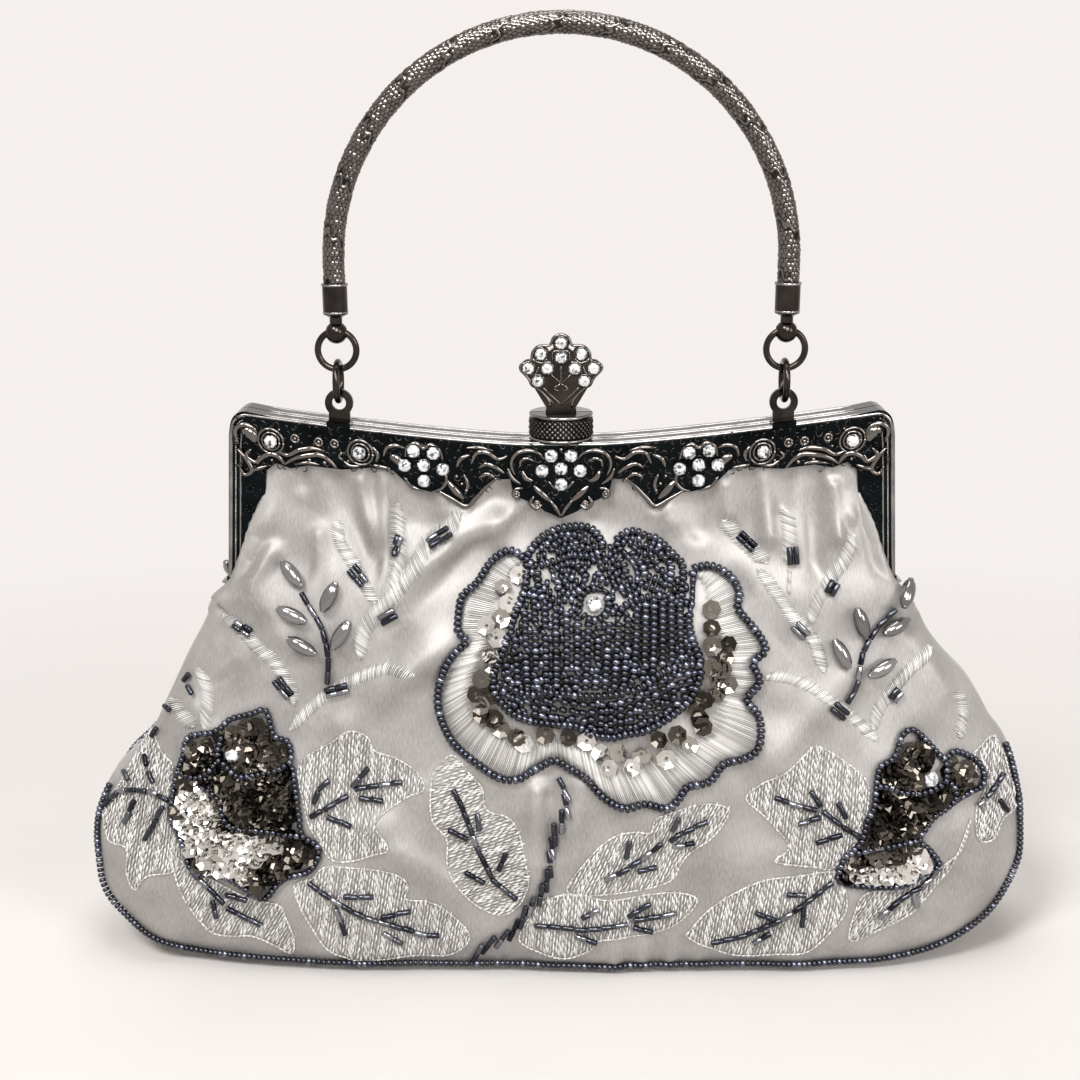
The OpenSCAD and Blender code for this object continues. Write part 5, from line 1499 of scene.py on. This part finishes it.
def leg_pattern(side):
    """Small cast stars and leaves down each leg between two fine borders."""
    runs = []
    face = side * FACE_Y
    sunk = side * 6.28  # a hair below the face
    for mirror in (-1, 1):
        for inset in (2.6, 8.6):
            zs = np.linspace(106, 136, 14)
            path = [(mirror * (leg_x(z) - inset), sunk, z) for z in zs]
            runs.append((path, (0, side, 0), 0.16, 0.16))
        for k, z in enumerate(np.arange(108, 139, 5.4)):
            x = mirror * (leg_x(z) - 5.6)
            for a in np.arange(6) * math.pi / 3 + 0.3 * k:
                tip = (x + 1.7 * math.cos(a), side * 6.26, z + 1.7 * math.sin(a))
                path = [(x + 0.35 * math.cos(a), face, z + 0.35 * math.sin(a)),
                        (x + 1.1 * math.cos(a), face, z + 1.1 * math.sin(a)), tip]
                runs.append((path, (0, side, 0), [0.2, 0.42, 0.1], [0.2, 0.3, 0.08]))
            for turn in (-1, 1):
                path = [(x + turn * (1.2 + 0.9 * math.sin(t)), sunk, z + 2.7 + 1.5 * math.cos(t) * turn)
                        for t in np.linspace(0.2, 2.9, 6)]
                runs.append((path, (0, side, 0), 0.22, 0.2))
    return strokes(SIDE_NAME[side] + "_leg_pattern", runs, BLACK_NICKEL)


# Scrollwork strokes on the left half: points (x, drop below the top edge), half width, height
SCROLLS = [
    ([(-88, 8.5), (-88.5, 5), (-86.5, 3), (-83.5, 3.6), (-82.6, 6)], 0.5, 0.6),
    ([(-86.8, 5.5), (-85.6, 4.7), (-84, 5.6), (-83.2, 7.6)], 1.15, 0.9),
    ([(-88.3, 10), (-86, 12.5), (-84.6, 15.5), (-86.6, 17), (-88, 15)], 0.45, 0.5),
    ([(-84.5, 9.5), (-86, 11.5), (-83.5, 13), (-82.3, 11)], 0.45, 0.5),
    ([(-83.2, 13.6), (-81.6, 11.4), (-79, 10), (-76.8, 10.8), (-75.6, 12.6)], 0.6, 0.8),
    ([(-75.6, 12.6), (-73, 10.6), (-69.5, 9.2), (-65.6, 8.6), (-63, 10), (-61.2, 12)], 0.6, 0.8),
    ([(-77.5, 9.2), (-74.5, 9.8), (-71.5, 8), (-67.5, 7), (-64.4, 7.4)], 0.55, 0.7),
    ([(-85.6, 16), (-83, 14.8), (-80.4, 13.6)], 0.4, 0.5),
    ([(-72.5, 12), (-69, 11.2), (-66, 11.4)], 0.35, 0.4),
    ([(-59.5, 9.5), (-57.6, 10.6), (-55, 10.4)], 0.35, 0.4),
    ([(-51.5, 9.7), (-49, 9.9), (-46.5, 10.2)], 0.4, 0.45),
    ([(-59.6, 7), (-60.6, 8.4), (-59.4, 9.4)], 0.3, 0.4),
    ([(-51.4, 4.5), (-50, 6.5), (-50.6, 8.8)], 0.4, 0.45),
    ([(-48.5, 7), (-47.5, 4.4), (-45, 3.4), (-42.5, 4)], 0.45, 0.6),
    ([(-46.8, 6.4), (-44.6, 7.4), (-43.2, 9.4)], 0.95, 0.8),
    ([(-43, 12), (-41, 14.5), (-37.5, 15.4)], 0.4, 0.5),
    ([(-42.6, 6.6), (-41.8, 3.4), (-39.4, 2.2), (-37.5, 3.4), (-35.6, 2.2), (-33.2, 3.4), (-32.2, 6.6)],
     0.45, 0.7), ([(-32, 9), (-31.4, 12), (-33, 14.4), (-35.5, 15.4)], 0.4, 0.5),
    ([(-31.2, 11.8), (-29, 14.4), (-26.6, 16.8)], 0.8, 0.9),
    ([(-34, 14.8), (-30, 16.8), (-26, 18.6), (-23.4, 16), (-20.4, 12.6), (-17.6, 10)], 0.5, 0.6),
    ([(-26.4, 15.4), (-25.6, 12.4), (-26.6, 9.6)], 0.4, 0.5),
    ([(-28.6, 8), (-27.4, 5.4), (-24.8, 4)], 0.5, 0.6),
    ([(-24.6, 6.6), (-23, 3.4), (-20, 3), (-17.2, 4.6), (-14.6, 3.6)], 0.55, 0.8),
    ([(-22.6, 7.6), (-20.4, 6.2), (-17.8, 7), (-15.4, 8.6)], 0.5, 0.6),
    ([(-22.6, 10.4), (-20.2, 9), (-18, 10)], 0.45, 0.5),
    ([(-26, 2.2), (-22, 1.8), (-18.4, 2.4)], 0.35, 0.5),
    ([(-14.6, 7), (-13.4, 9.6), (-11, 11.4)], 0.4, 0.5),
    ([(-12.6, 9), (-13.6, 5.6), (-12.2, 2.8), (-9, 1.8), (-6, 2.6), (-4.4, 4.4)], 0.5, 0.9),
    ([(-11.2, 6.6), (-11, 4.8), (-9.2, 4), (-7.2, 5)], 0.4, 0.6),
    ([(-10.6, 7.4), (-9.6, 9.6), (-7.4, 10.4)], 0.6, 0.7),
    ([(-7.6, 11.6), (-5.4, 13.8), (-2.6, 16.4)], 0.75, 0.9),
    ([(-10.4, 12.4), (-12.4, 12.8), (-13, 14.6), (-11.4, 15.6)], 0.45, 0.6),
    ([(-7.4, 14.6), (-8.4, 16.6), (-6.8, 18.2), (-5.2, 17)], 0.45, 0.6),
    ([(-3.4, 15.4), (-1.4, 18), (0, 20.6)], 0.45, 0.7),
    ([(-3.6, 10.4), (-1.6, 12.4), (0, 12.8)], 0.3, 0.4)]
RINGS = [
    (-79, 6.5, 2.35), (-79, 6.5, 3.4), (-54.7, 6.5, 2.35), (-54.7, 6.5, 3.4), (-72.4, 4.9, 1.0),
    (-66, 5.0, 1.0), (-61.7, 4.9, 1.0), (-12.3, 14.2, 0.8), (-6.6, 16.8, 0.7)]
DROPS = [
    (-72.4, 4.9, 0.6), (-66, 5, 0.65), (-61.7, 4.9, 0.6), (-68.7, 10.4, 0.7), (-64.6, 10.6, 0.7),
    (-58.2, 9.4, 0.5), (-28.6, 10.4, 0.6), (-27.2, 12.4, 0.6), (-26, 14.2, 0.6), (-12.3, 14.2, 0.6),
    (-6.6, 16.8, 0.6), (-42.4, 12.6, 0.5), (-79, 11.8, 0.5), (-73.6, 7.4, 0.45), (0, 1.6, 0.7),
    (-1.8, 2.6, 0.4), (-76.6, 3, 0.45), (-57.4, 3, 0.4)]
STONE_SPOTS = [(79, 6.5), (55, 6.5), (-79, 6.5), (-55, 6.5)] + [
    (x + dx, drop + dz) for x, drop in ((-37.5, 8), (0, 6.8), (37.5, 8))
    for dx, dz in ((-2.7, -3.6), (2.7, -3.6), (-5.2, 0.6), (0, 0), (5.2, 0.6), (0, 4.4))]


def on_plate(points):
    """Places on the scrollwork plate from (x, drop below the top edge)."""
    return np.array([(x, -(PLATE_Y - 0.05), top_z(x) - drop) for x, drop in points])


def scrollwork():
    """The cast scrolls and rings, bolder and prouder than their drawn sizes."""
    bold = 1.4
    proud = 1.25
    runs = []
    for mirror in (1, -1):
        for points, wide, high in SCROLLS:
            path = curve([(x * mirror, drop) for x, drop in points], step=0.45)
            share = np.sin(np.linspace(0.12, math.pi - 0.12, len(path))) ** 0.6
            runs.append((on_plate(path), (0, -1, 0), bold * wide * share + 0.05, proud * high * share + 0.05))
        for x, drop, r in RINGS:
            path = circle(x * mirror, drop, r, int(10 + 7 * r))
            runs.append((on_plate(path), (0, -1, 0), 0.42, 0.6))
    return strokes("front_scrollwork", runs, NICKEL_WORN_WITH_PAINTED_SHADE)


def cast_ground():
    """Small curls and dots that roughen the plate's dark ground between the scrolls."""
    rng = np.random.default_rng(31)
    runs = []
    for x in np.arange(-88, 88.5, 2.2):
        foot = top_z(x) - flow(PLATE_FOOT, abs(x))
        for drop in np.arange(1.6, foot - 1.2, 2.3):
            cx = x + rng.uniform(-0.6, 0.6)
            cd = drop + rng.uniform(-0.6, 0.6)
            start = rng.uniform(0, 6.3)
            r = rng.uniform(0.4, 0.95)
            turn = start + np.linspace(0, rng.choice((-1, 1)) * rng.uniform(2.4, 4.4), 7)
            path = joined(cx + r * np.cos(turn), cd + r * np.sin(turn))
            share = np.sin(np.linspace(0.2, math.pi - 0.2, 7))
            runs.append((on_plate(path), (0, -1, 0), 0.16 * share + 0.05, 0.3 * share + 0.03))
    # The curls get under a third of the painted highlight, so the ground stays dark
    return strokes("cast_ground", runs, NICKEL_WORN_WITH_PAINTED_SHADE, 0.3)


def button(sides=12):
    """A small cast bead, round side up."""
    profile = [(0.02, -0.25), (0.9, -0.25), (1.0, 0.1), (0.8, 0.58), (0.45, 0.88), (0.02, 1.0)]
    return ring_points(profile, sides), tube_faces(len(profile), sides)


for side in (FRONT, REAR):
    half = SIDE_NAME[side] + "_half"
    metal(rails(side), half, "grey_nickel")
    metal(leg_pattern(side), half, "black_nickel")
    line = frame_line(1.8, 106, 0.9)
    path = [(x, side * FACE_Y, z) for x, z in line]
    milled = beads(SIDE_NAME[side] + "_milled_line", [path], pitch=0.62, radius=0.3, seed=9,
                   finish=GREY_NICKEL)
    metal(milled, half, "grey_nickel")
metal(scrollwork(), "front_half", "black_nickel")
metal(cast_ground(), "front_half", "black_nickel")
drops = [((x * m, -PLATE_Y, top_z(x) - drop), (0, -1, 0), (1, 0, 0), r, 1.0)
         for x, drop, r in DROPS for m in ((1, -1) if x else (1,))]
buttons = sewn("front_cast_beads", button(), drops, NICKEL_WORN_WITH_PAINTED_SHADE)
# Painted pale all over, as crest wear and painted highlight
mark(buttons, "relief", np.ones(len(buttons.data.vertices)))
metal(buttons, "front_half", "black_nickel")


def set_stones(name, spots, radius, depth, parent, *nodes):
    """Cut stones with four prongs each."""
    rng = np.random.default_rng(3)
    stones = []
    claws = []
    for x, z in spots:
        stones.append(((x, -depth, z), (0, -1, 0), (1, 0.3, 0), radius, rng.uniform(0, 1)))
        for a in np.arange(4) * math.pi / 2 + 0.75:
            claw = (x + (radius + 0.05) * math.cos(a), -depth - 0.05, z + (radius + 0.05) * math.sin(a))
            claws.append((claw, (0, -1, 0), (1, 0, 0), 0.17, 1.0))
    cut = sewn(name + "_cut_stones", cut_stone(), stones, FOILED_CRYSTAL, smoothed=False)
    metal(cut, parent, "crystal", *nodes)
    prongs = sewn(name + "_prongs", button(8), claws, NICKEL_WORN_WITH_PAINTED_SHADE)
    # Painted pale all over, as crest wear and painted highlight
    mark(prongs, "relief", np.ones(len(prongs.data.vertices)))
    metal(prongs, parent, "black_nickel")


set_stones("frame", [(x, top_z(x) - drop) for x, drop in STONE_SPOTS], 1.85, SETTING_Y + 0.1,
           "front_half", "frame_stones")

# ---- clasp: knurled sleeves, rims and the fan ----

FAN_SPOTS = [
    (0, 17.8), (-5.5, 14.8), (5.5, 14.8), (0, 13.9), (-8.9, 10.9), (8.9, 10.9), (-3.7, 10.8), (3.7, 10.8),
    (-6.3, 7.4), (6.3, 7.4)]
FAN_EDGE = [
    (-3, 0.3), (-3.2, 1.8), (-5, 4.2), (-7.8, 6.6), (-9.2, 8.6), (-11, 10.6), (-10.6, 12), (-8.2, 12.9),
    (-7.6, 15.4), (-5.6, 17), (-3, 17.2), (-2, 19.2), (0, 20.1)]
FAN_RIBS = [
    ([(0, 0.9), (-2.6, 3.4), (-5, 5.8)], 0.3), ([(0, 6.9), (-1.6, 8.2), (-2.8, 9.4)], 0.22),
    ([(0, 6.9), (-0.9, 6.1), (-1.9, 5.6)], 0.2), ([(-0.2, 11.6), (-0.1, 9), (0, 6.9)], 0.14),
    ([(-1.8, 0.9), (-3.6, 2.9), (-6.2, 5.4)], 0.24), ([(-5.6, 9.4), (-4.6, 12.2), (-2.6, 12.8)], 0.28),
    ([(-2.2, 12.8), (-2.2, 15.2), (0, 16)], 0.28), ([(-8.4, 9), (-6.8, 9.6), (-6, 11.4)], 0.28),
    ([(-7.4, 13), (-5.2, 12.4), (-3.6, 13.6)], 0.28), ([(-0.9, 6.4), (-1.8, 5.2), (-0.4, 4.6)], 0.25)]


SLEEVE_FOOT = 149.0
SLEEVE_TOP = 154.4
KNURL = 1.5  # size of one diamond
KNURL_H = 0.3


def knurled_sleeve(side):
    """Half a sleeve with a diamond knurl pressed into it, closed behind."""
    turns = np.linspace(0.04, math.pi - 0.04, 108)
    heights = np.linspace(SLEEVE_FOOT, SLEEVE_TOP, 25)
    rise = []
    grid = []
    for z in heights:
        for a in turns:
            u = a * DRUM_R / KNURL
            v = (z - SLEEVE_FOOT) / KNURL
            cut = max(abs(math.sin(math.pi * (u + v))), abs(math.sin(math.pi * (u - v))))
            rim = smooth((z - SLEEVE_FOOT) / 0.5) * smooth((SLEEVE_TOP - z) / 0.5)
            lift = (0.05 + KNURL_H * (1 - cut) * 2.2) * rim
            # The colour follows the knurl: painted shade in its grooves, painted highlight on its crests,
            # half as pale on the front sleeve
            rise.append(min(1.0, lift / KNURL_H) * (0.5 if side == FRONT else 1.0))
            r = DRUM_R + lift
            grid.append((r * math.cos(a), side * max(r * math.sin(a), Y_SEAM), z))
    back = [((DRUM_R - 0.3) * math.cos(a), side * max((DRUM_R - 0.3) * math.sin(a), Y_SEAM), z)
            for z in heights for a in turns]
    n = len(heights)
    m = len(turns)
    faces = grid_faces(n, m) + [tuple(i + n * m for i in f[::-1]) for f in grid_faces(n, m)]
    ring = (list(range(m)) + [i * m + m - 1 for i in range(1, n)]
            + [(n - 1) * m + j for j in range(m - 2, -1, -1)] + [i * m for i in range(n - 2, 0, -1)])
    faces += [(a, a + n * m, b + n * m, b) for a, b in zip(ring, ring[1:] + ring[:1])]
    made = mesh_piece(SIDE_NAME[side] + "_knurled_sleeve", grid + back, faces, NICKEL_WORN_WITH_PAINTED_SHADE)
    # The inner wall takes the darkest colour, as painted shade
    mark(made, "relief", rise + [0.0] * (n * m))
    return tidy(made)


for side in (FRONT, REAR):
    half = SIDE_NAME[side] + "_half"
    metal(knurled_sleeve(side), half, "black_nickel" if side == FRONT else "grey_nickel")
    runs = []
    for z, wide in ((155.0, 0.45), (148.6, 0.4)):
        turns = np.linspace(0.06, math.pi - 0.06, 60)
        reach = DRUM_R - 0.1
        path = joined(reach * np.cos(turns), side * reach * np.sin(turns), z)
        out = joined(np.cos(turns), side * np.sin(turns), 0.0)
        runs.append((path, out, wide, 0.4))
    metal(strokes(SIDE_NAME[side] + "_drum_rims", runs, GREY_NICKEL), half, "grey_nickel")


def fan_work():
    """The fan's raised outline, its ribs and a collar round each stone."""
    runs = []
    edge = FAN_EDGE + [(-x, z) for x, z in FAN_EDGE[-2::-1]]
    path = curve(edge, step=0.5)
    raised = [(x, -FAN_Y + 0.1, FAN_Z + z) for x, z in path]
    runs.append((raised, (0, -1, 0), 0.42, 0.6))
    for mirror in (1, -1):
        for points, wide in FAN_RIBS:
            path = curve([(x * mirror, z) for x, z in points], step=0.4)
            share = np.sin(np.linspace(0.15, math.pi - 0.15, len(path))) ** 0.6
            raised = [(x, -FAN_Y + 0.05, FAN_Z + z) for x, z in path]
            runs.append((raised, (0, -1, 0), wide * share + 0.05, 0.5 * share))
    for x, z in FAN_SPOTS:
        collar = circle(x, FAN_Z + z, 1.75, 24)
        runs.append((joined(collar[:, 0], -FAN_Y + 0.05, collar[:, 1]), (0, -1, 0), 0.28, 0.45))
    return strokes("fan_ornament", runs, NICKEL_WORN_WITH_PAINTED_SHADE)


metal(fan_work(), "clasp_lever", "black_nickel")
set_stones("fan", [(x, FAN_Z + z) for x, z in FAN_SPOTS], 1.65, FAN_Y + 0.6,
           "clasp_lever", "clasp_fan_stones")

# ---- handle: embossed tube between its ferrules ----


def handle_course(count):
    """Centre line of the handle from the left ferrule over the arch to the right one."""
    left = [(-CHAIN_X, -Y_MID, z) for z in np.linspace(186.5, ARCH_Z, 8)]
    arch = [(-ARCH_R * math.cos(a), -Y_MID, ARCH_Z + ARCH_R * math.sin(a))
            for a in np.linspace(0, math.pi, 90)[1:-1]]
    return spaced(left + arch + [(-x, y, z) for x, y, z in left[::-1]], count=count)


def handle_tube():
    """Tube rolled with bands of small scales and smooth notched leaves that wind round it."""
    rings = 760
    sides = 84
    scales_round = 14
    scale_long = 1.2
    one_turn = 14.5  # the leaves wind once round over this length
    course = handle_course(rings)
    along = unit(np.gradient(course, axis=0))
    length = np.linalg.norm(np.diff(course, axis=0), axis=1).sum()
    s = np.linspace(0, length, rings)[:, None]
    a = (np.arange(sides) / sides)[None, :]
    around = a * scales_round
    wind = (s / one_turn + a + 0.05 * np.sin(2 * math.pi * around / 2) + 0.03 * np.sin(s * 1.9)) % 1.0
    row = np.floor(s / scale_long)
    up = s / scale_long - row
    over = around + 0.5 * (row % 2)
    # Each scale gets a random share of its height and of its painted highlight
    scale_height_and_glint = (np.sin(np.floor(over) * 12.99 + row * 78.23) * 43.76) % 1.0
    bulge = 1 - (2 * (over % 1.0) - 1) ** 2 - (2 * up - 0.9) ** 2 * 0.8
    scale = np.sqrt(np.clip(bulge, 0, 1)) * (0.4 + 0.6 * scale_height_and_glint)
    scaled = smooth(wind / 0.05) * smooth((0.84 - wind) / 0.04)
    leaf = smooth((wind - 0.86) / 0.03) * smooth((0.96 - wind) / 0.05)
    rise = 0.3 * scale * scaled + 0.26 * leaf
    ends = smooth(s / 0.5) * smooth((length - s) / 0.5)
    radius = TUBE_R - 0.12 + rise * ends
    level = np.array([0.0, 1.0, 0.0])
    outward = unit(np.cross(level, along))
    angle = a * 2 * math.pi
    points = (course[:, None, :] + radius[..., None] * (np.cos(angle)[..., None] * outward[:, None, :]
                                                        + np.sin(angle)[..., None] * level))
    made = mesh_piece("embossed_handle_tube", points.reshape(-1, 3), tube_faces(rings, sides), NICKEL_WORN_WITH_PAINTED_SHADE)
    # The colour follows the relief: painted shade between the scales and in the plain bands, painted
    # highlight on the scales and leaves
    mark(made, "relief", np.clip(scale * scaled + 0.8 * leaf + 0.2, 0, 1).ravel())
    return tidy(made, 0.001)


metal(handle_tube(), "handle", "black_nickel", "handle_cover")
runs = []
for x in (-CHAIN_X, CHAIN_X):
    turns = np.linspace(0, 2 * math.pi, 40)
    for z, r in ((FERRULE_TOP - 0.35, TUBE_R + 0.5), (FERRULE_Z + 0.5, TUBE_R + 0.3)):
        path = joined(x + r * np.cos(turns), -Y_MID + r * np.sin(turns), z)
        out = joined(np.cos(turns), np.sin(turns), 0.0)
        runs.append((path, out, 0.35, 0.22))
metal(strokes("ferrule_beads", runs, GREY_NICKEL), "handle", "grey_nickel")


def saddle(x):
    """A strap bent over the frame's edge under a handle tab."""
    z = top_z(x)
    lean = (top_z(x + 1) - top_z(x - 1)) / 2
    profile = [(-6.9, -2.6), (-6.9, 0.75), (-6.4, 1.0), (-0.5, 1.0), (-0.5, 0.45), (-6.3, 0.45), (-6.5, 0.3),
               (-6.5, -2.6)]
    points = []
    for dx in (-3.2, -2.9, 2.9, 3.2):
        rounded = 0.12 if abs(dx) > 3 else 0
        points += [(x + dx, y, z + (dz - rounded) + lean * dx) for y, dz in profile]
    return np.array(points), tube_faces(4, len(profile))


straps = mesh_piece("tab_saddles", *pile([saddle(-CHAIN_X), saddle(CHAIN_X)]), BLACK_NICKEL, shade=False)
metal(tidy(straps), "front_half", "black_nickel")

# ---- finishes of the plain metal, cord and board ----

FINISHES = [
    (BLACK_NICKEL, ["front_frame", "rear_frame", "hinge_rivet_left", "hinge_rivet_right", "front_filigree",
                    "clasp_front_drum", "handle_cover"]),
    (FAN_NICKEL, ["clasp_fan_lever"]),
    (GUNMETAL, ["handle_tab_left", "handle_tab_right", "lower_ring_left", "lower_ring_right",
                "upper_ring_left", "upper_ring_right", "handle_ferrule_left", "handle_ferrule_right"]),
    (GREY_NICKEL, ["clasp_rear_drum"]),
    (STEEL, ["clasp_pin", "clasp_spring", "handle_core"]),
    (FOILED_CRYSTAL, ["frame_stones", "clasp_fan_stones", "front_crystals", "rear_crystals"]),
    (PAPER_CORD, ["front_channel_cord", "rear_channel_cord"]),
    (BOARD, ["base_board"]),
    (SATIN_BODY, ["pouch_shell", "front_panel", "rear_panel"]),
    (LINING_BODY, ["pouch_lining", "front_panel_lining", "rear_panel_lining", "inner_pocket"]),
    (WADDING, ["pouch_wadding"]),
    (SEED_GLASS, ["front_edge_beads", "rear_edge_beads", "front_flower_beads", "front_flower_top",
                  "rear_flower_beads", "rear_flower_top", "front_stem_bugles", "rear_stem_bugles"]),
    (SEQUIN_FOIL, ["front_buds", "rear_buds"]),
    (RAYON, ["front_leaves", "rear_leaves"]),
    (PEARL_COAT, ["front_pearl_sprigs", "rear_pearl_sprigs"])]
for finish, names in FINISHES:
    for name in names:
        for slot in bpy.data.objects[name].material_slots:
            slot.material = finish

# ---- floor, light and camera ----

BACKDROP = "#F5F0ED"
# In metres: the middle of the lit floor, how far the light reaches, and where the even tone takes over
LIT_MIDDLE = (0.0, -0.3, 0.0)
LIT_REACH = 0.38
EVEN_FROM = 0.7


def stage_piece():
    """A pale floor that curves up into a backdrop."""
    profile = [(-900, 0), (500, 0), (620, 12), (720, 60), (780, 150), (800, 300), (800, 1500)]
    line = curve(profile, step=25)
    points = [(x, y, z - 0.05) for y, z in line for x in (-1600, 1600)]
    made = mesh_piece("studio_floor", points, grid_faces(len(line), 2, turned=True), FLOOR)


def light(name, place, target, size, power, shine_only=False):
    """A round lamp aimed at a target, in metres and watts; shine_only keeps it out of matt surfaces."""
    data = bpy.data.lights.new(name, "AREA")
    data.shape = "DISK"
    data.size = size
    data.energy = power
    made = placed(name, data)
    made.location = place
    made.rotation_euler = (Vector(target) - Vector(place)).to_track_quat("-Z", "Y").to_euler()
    made.visible_diffuse = not shine_only


def painted_backdrop():
    """Matt off-white paint: a lit floor that keeps the shadow, and behind it one even pale tone."""
    material, tree, shader = surface("matt_wall_paint", Roughness=0.85)
    place = object_place(tree)
    shade_of(tree, shader, noise(tree, place, 60.0, 4.0), ["#E6E1DD", "#ECE8E5"])
    far = node(tree, "ShaderNodeVectorMath", {0: place, 1: LIT_MIDDLE}, operation="DISTANCE")
    share = node(tree, "ShaderNodeMapRange",
                 {"Value": far.outputs["Value"], "From Min": LIT_REACH, "From Max": EVEN_FROM})
    amount = reckon(tree, "MULTIPLY", share.outputs["Result"], seen_directly(tree))
    even = node(tree, "ShaderNodeEmission", {"Color": linear(BACKDROP), "Strength": 1.0})
    mixed = node(tree, "ShaderNodeMixShader",
                 {0: amount, 1: shader.outputs["BSDF"], 2: even.outputs["Emission"]})
    tree.links.new(mixed.outputs["Shader"], tree.nodes["Material Output"].inputs["Surface"])
    return material


def seen_directly(tree):
    """One where the camera looks at the backdrop, straight or in a mirror or glass."""
    seen = node(tree, "ShaderNodeLightPath")
    straight = reckon(tree, "MAXIMUM", seen.outputs["Is Camera Ray"], seen.outputs["Is Glossy Ray"])
    return reckon(tree, "MAXIMUM", straight, seen.outputs["Is Transmission Ray"])


def studio_world():
    """A dim even sky for the light, and the backdrop's own tone where it is seen."""
    made = bpy.data.worlds.new("studio")
    made.use_nodes = True
    tree = made.node_tree
    tree.nodes.clear()
    sky = node(tree, "ShaderNodeBackground", {"Color": linear("#F2F1EF"), "Strength": 0.18})
    pale = node(tree, "ShaderNodeBackground", {"Color": linear(BACKDROP), "Strength": 1.0})
    mixed = node(tree, "ShaderNodeMixShader",
                 {0: seen_directly(tree), 1: sky.outputs["Background"], 2: pale.outputs["Background"]})
    node(tree, "ShaderNodeOutputWorld", {"Surface": mixed.outputs["Shader"]})
    return made


FLOOR = painted_backdrop()
stage_piece()

target = Vector((-5.93, 0, 118.75)) * MM
azimuth = math.radians(0.63)
elevation = math.radians(16.0)
roll = math.radians(-0.25)
away = 0.4375
back = Vector((math.sin(azimuth) * math.cos(elevation), -math.cos(azimuth) * math.cos(elevation),
               math.sin(elevation)))
camera_data = bpy.data.cameras.new("camera")
camera_data.lens = 51.8
camera_data.sensor_width = 36.0
camera_data.clip_start = 0.01
camera_data.clip_end = 20.0
camera = placed("camera", camera_data)
camera.location = target + back * away
turn = (-back).to_track_quat("-Z", "Y").to_matrix() @ Matrix.Rotation(roll, 3, "Z")
camera.rotation_euler = turn.to_euler()
bpy.context.scene.camera = camera

light("key", (-0.42, -0.64, 1.02), (0, 0, 0.09), size=0.4, power=9.5)
light("shine", (0.12, -0.8, 0.72), (0, 0, 0.1), size=0.5, power=11, shine_only=True)
light("fill", (0.8, -0.75, 0.5), (0, 0, 0.09), size=0.5, power=5)
light("top", (0.0, 0.1, 1.1), (0, 0, 0.1), size=0.6, power=4)
bpy.context.scene.world = studio_world()
bpy.context.scene.view_settings.view_transform = "Standard"
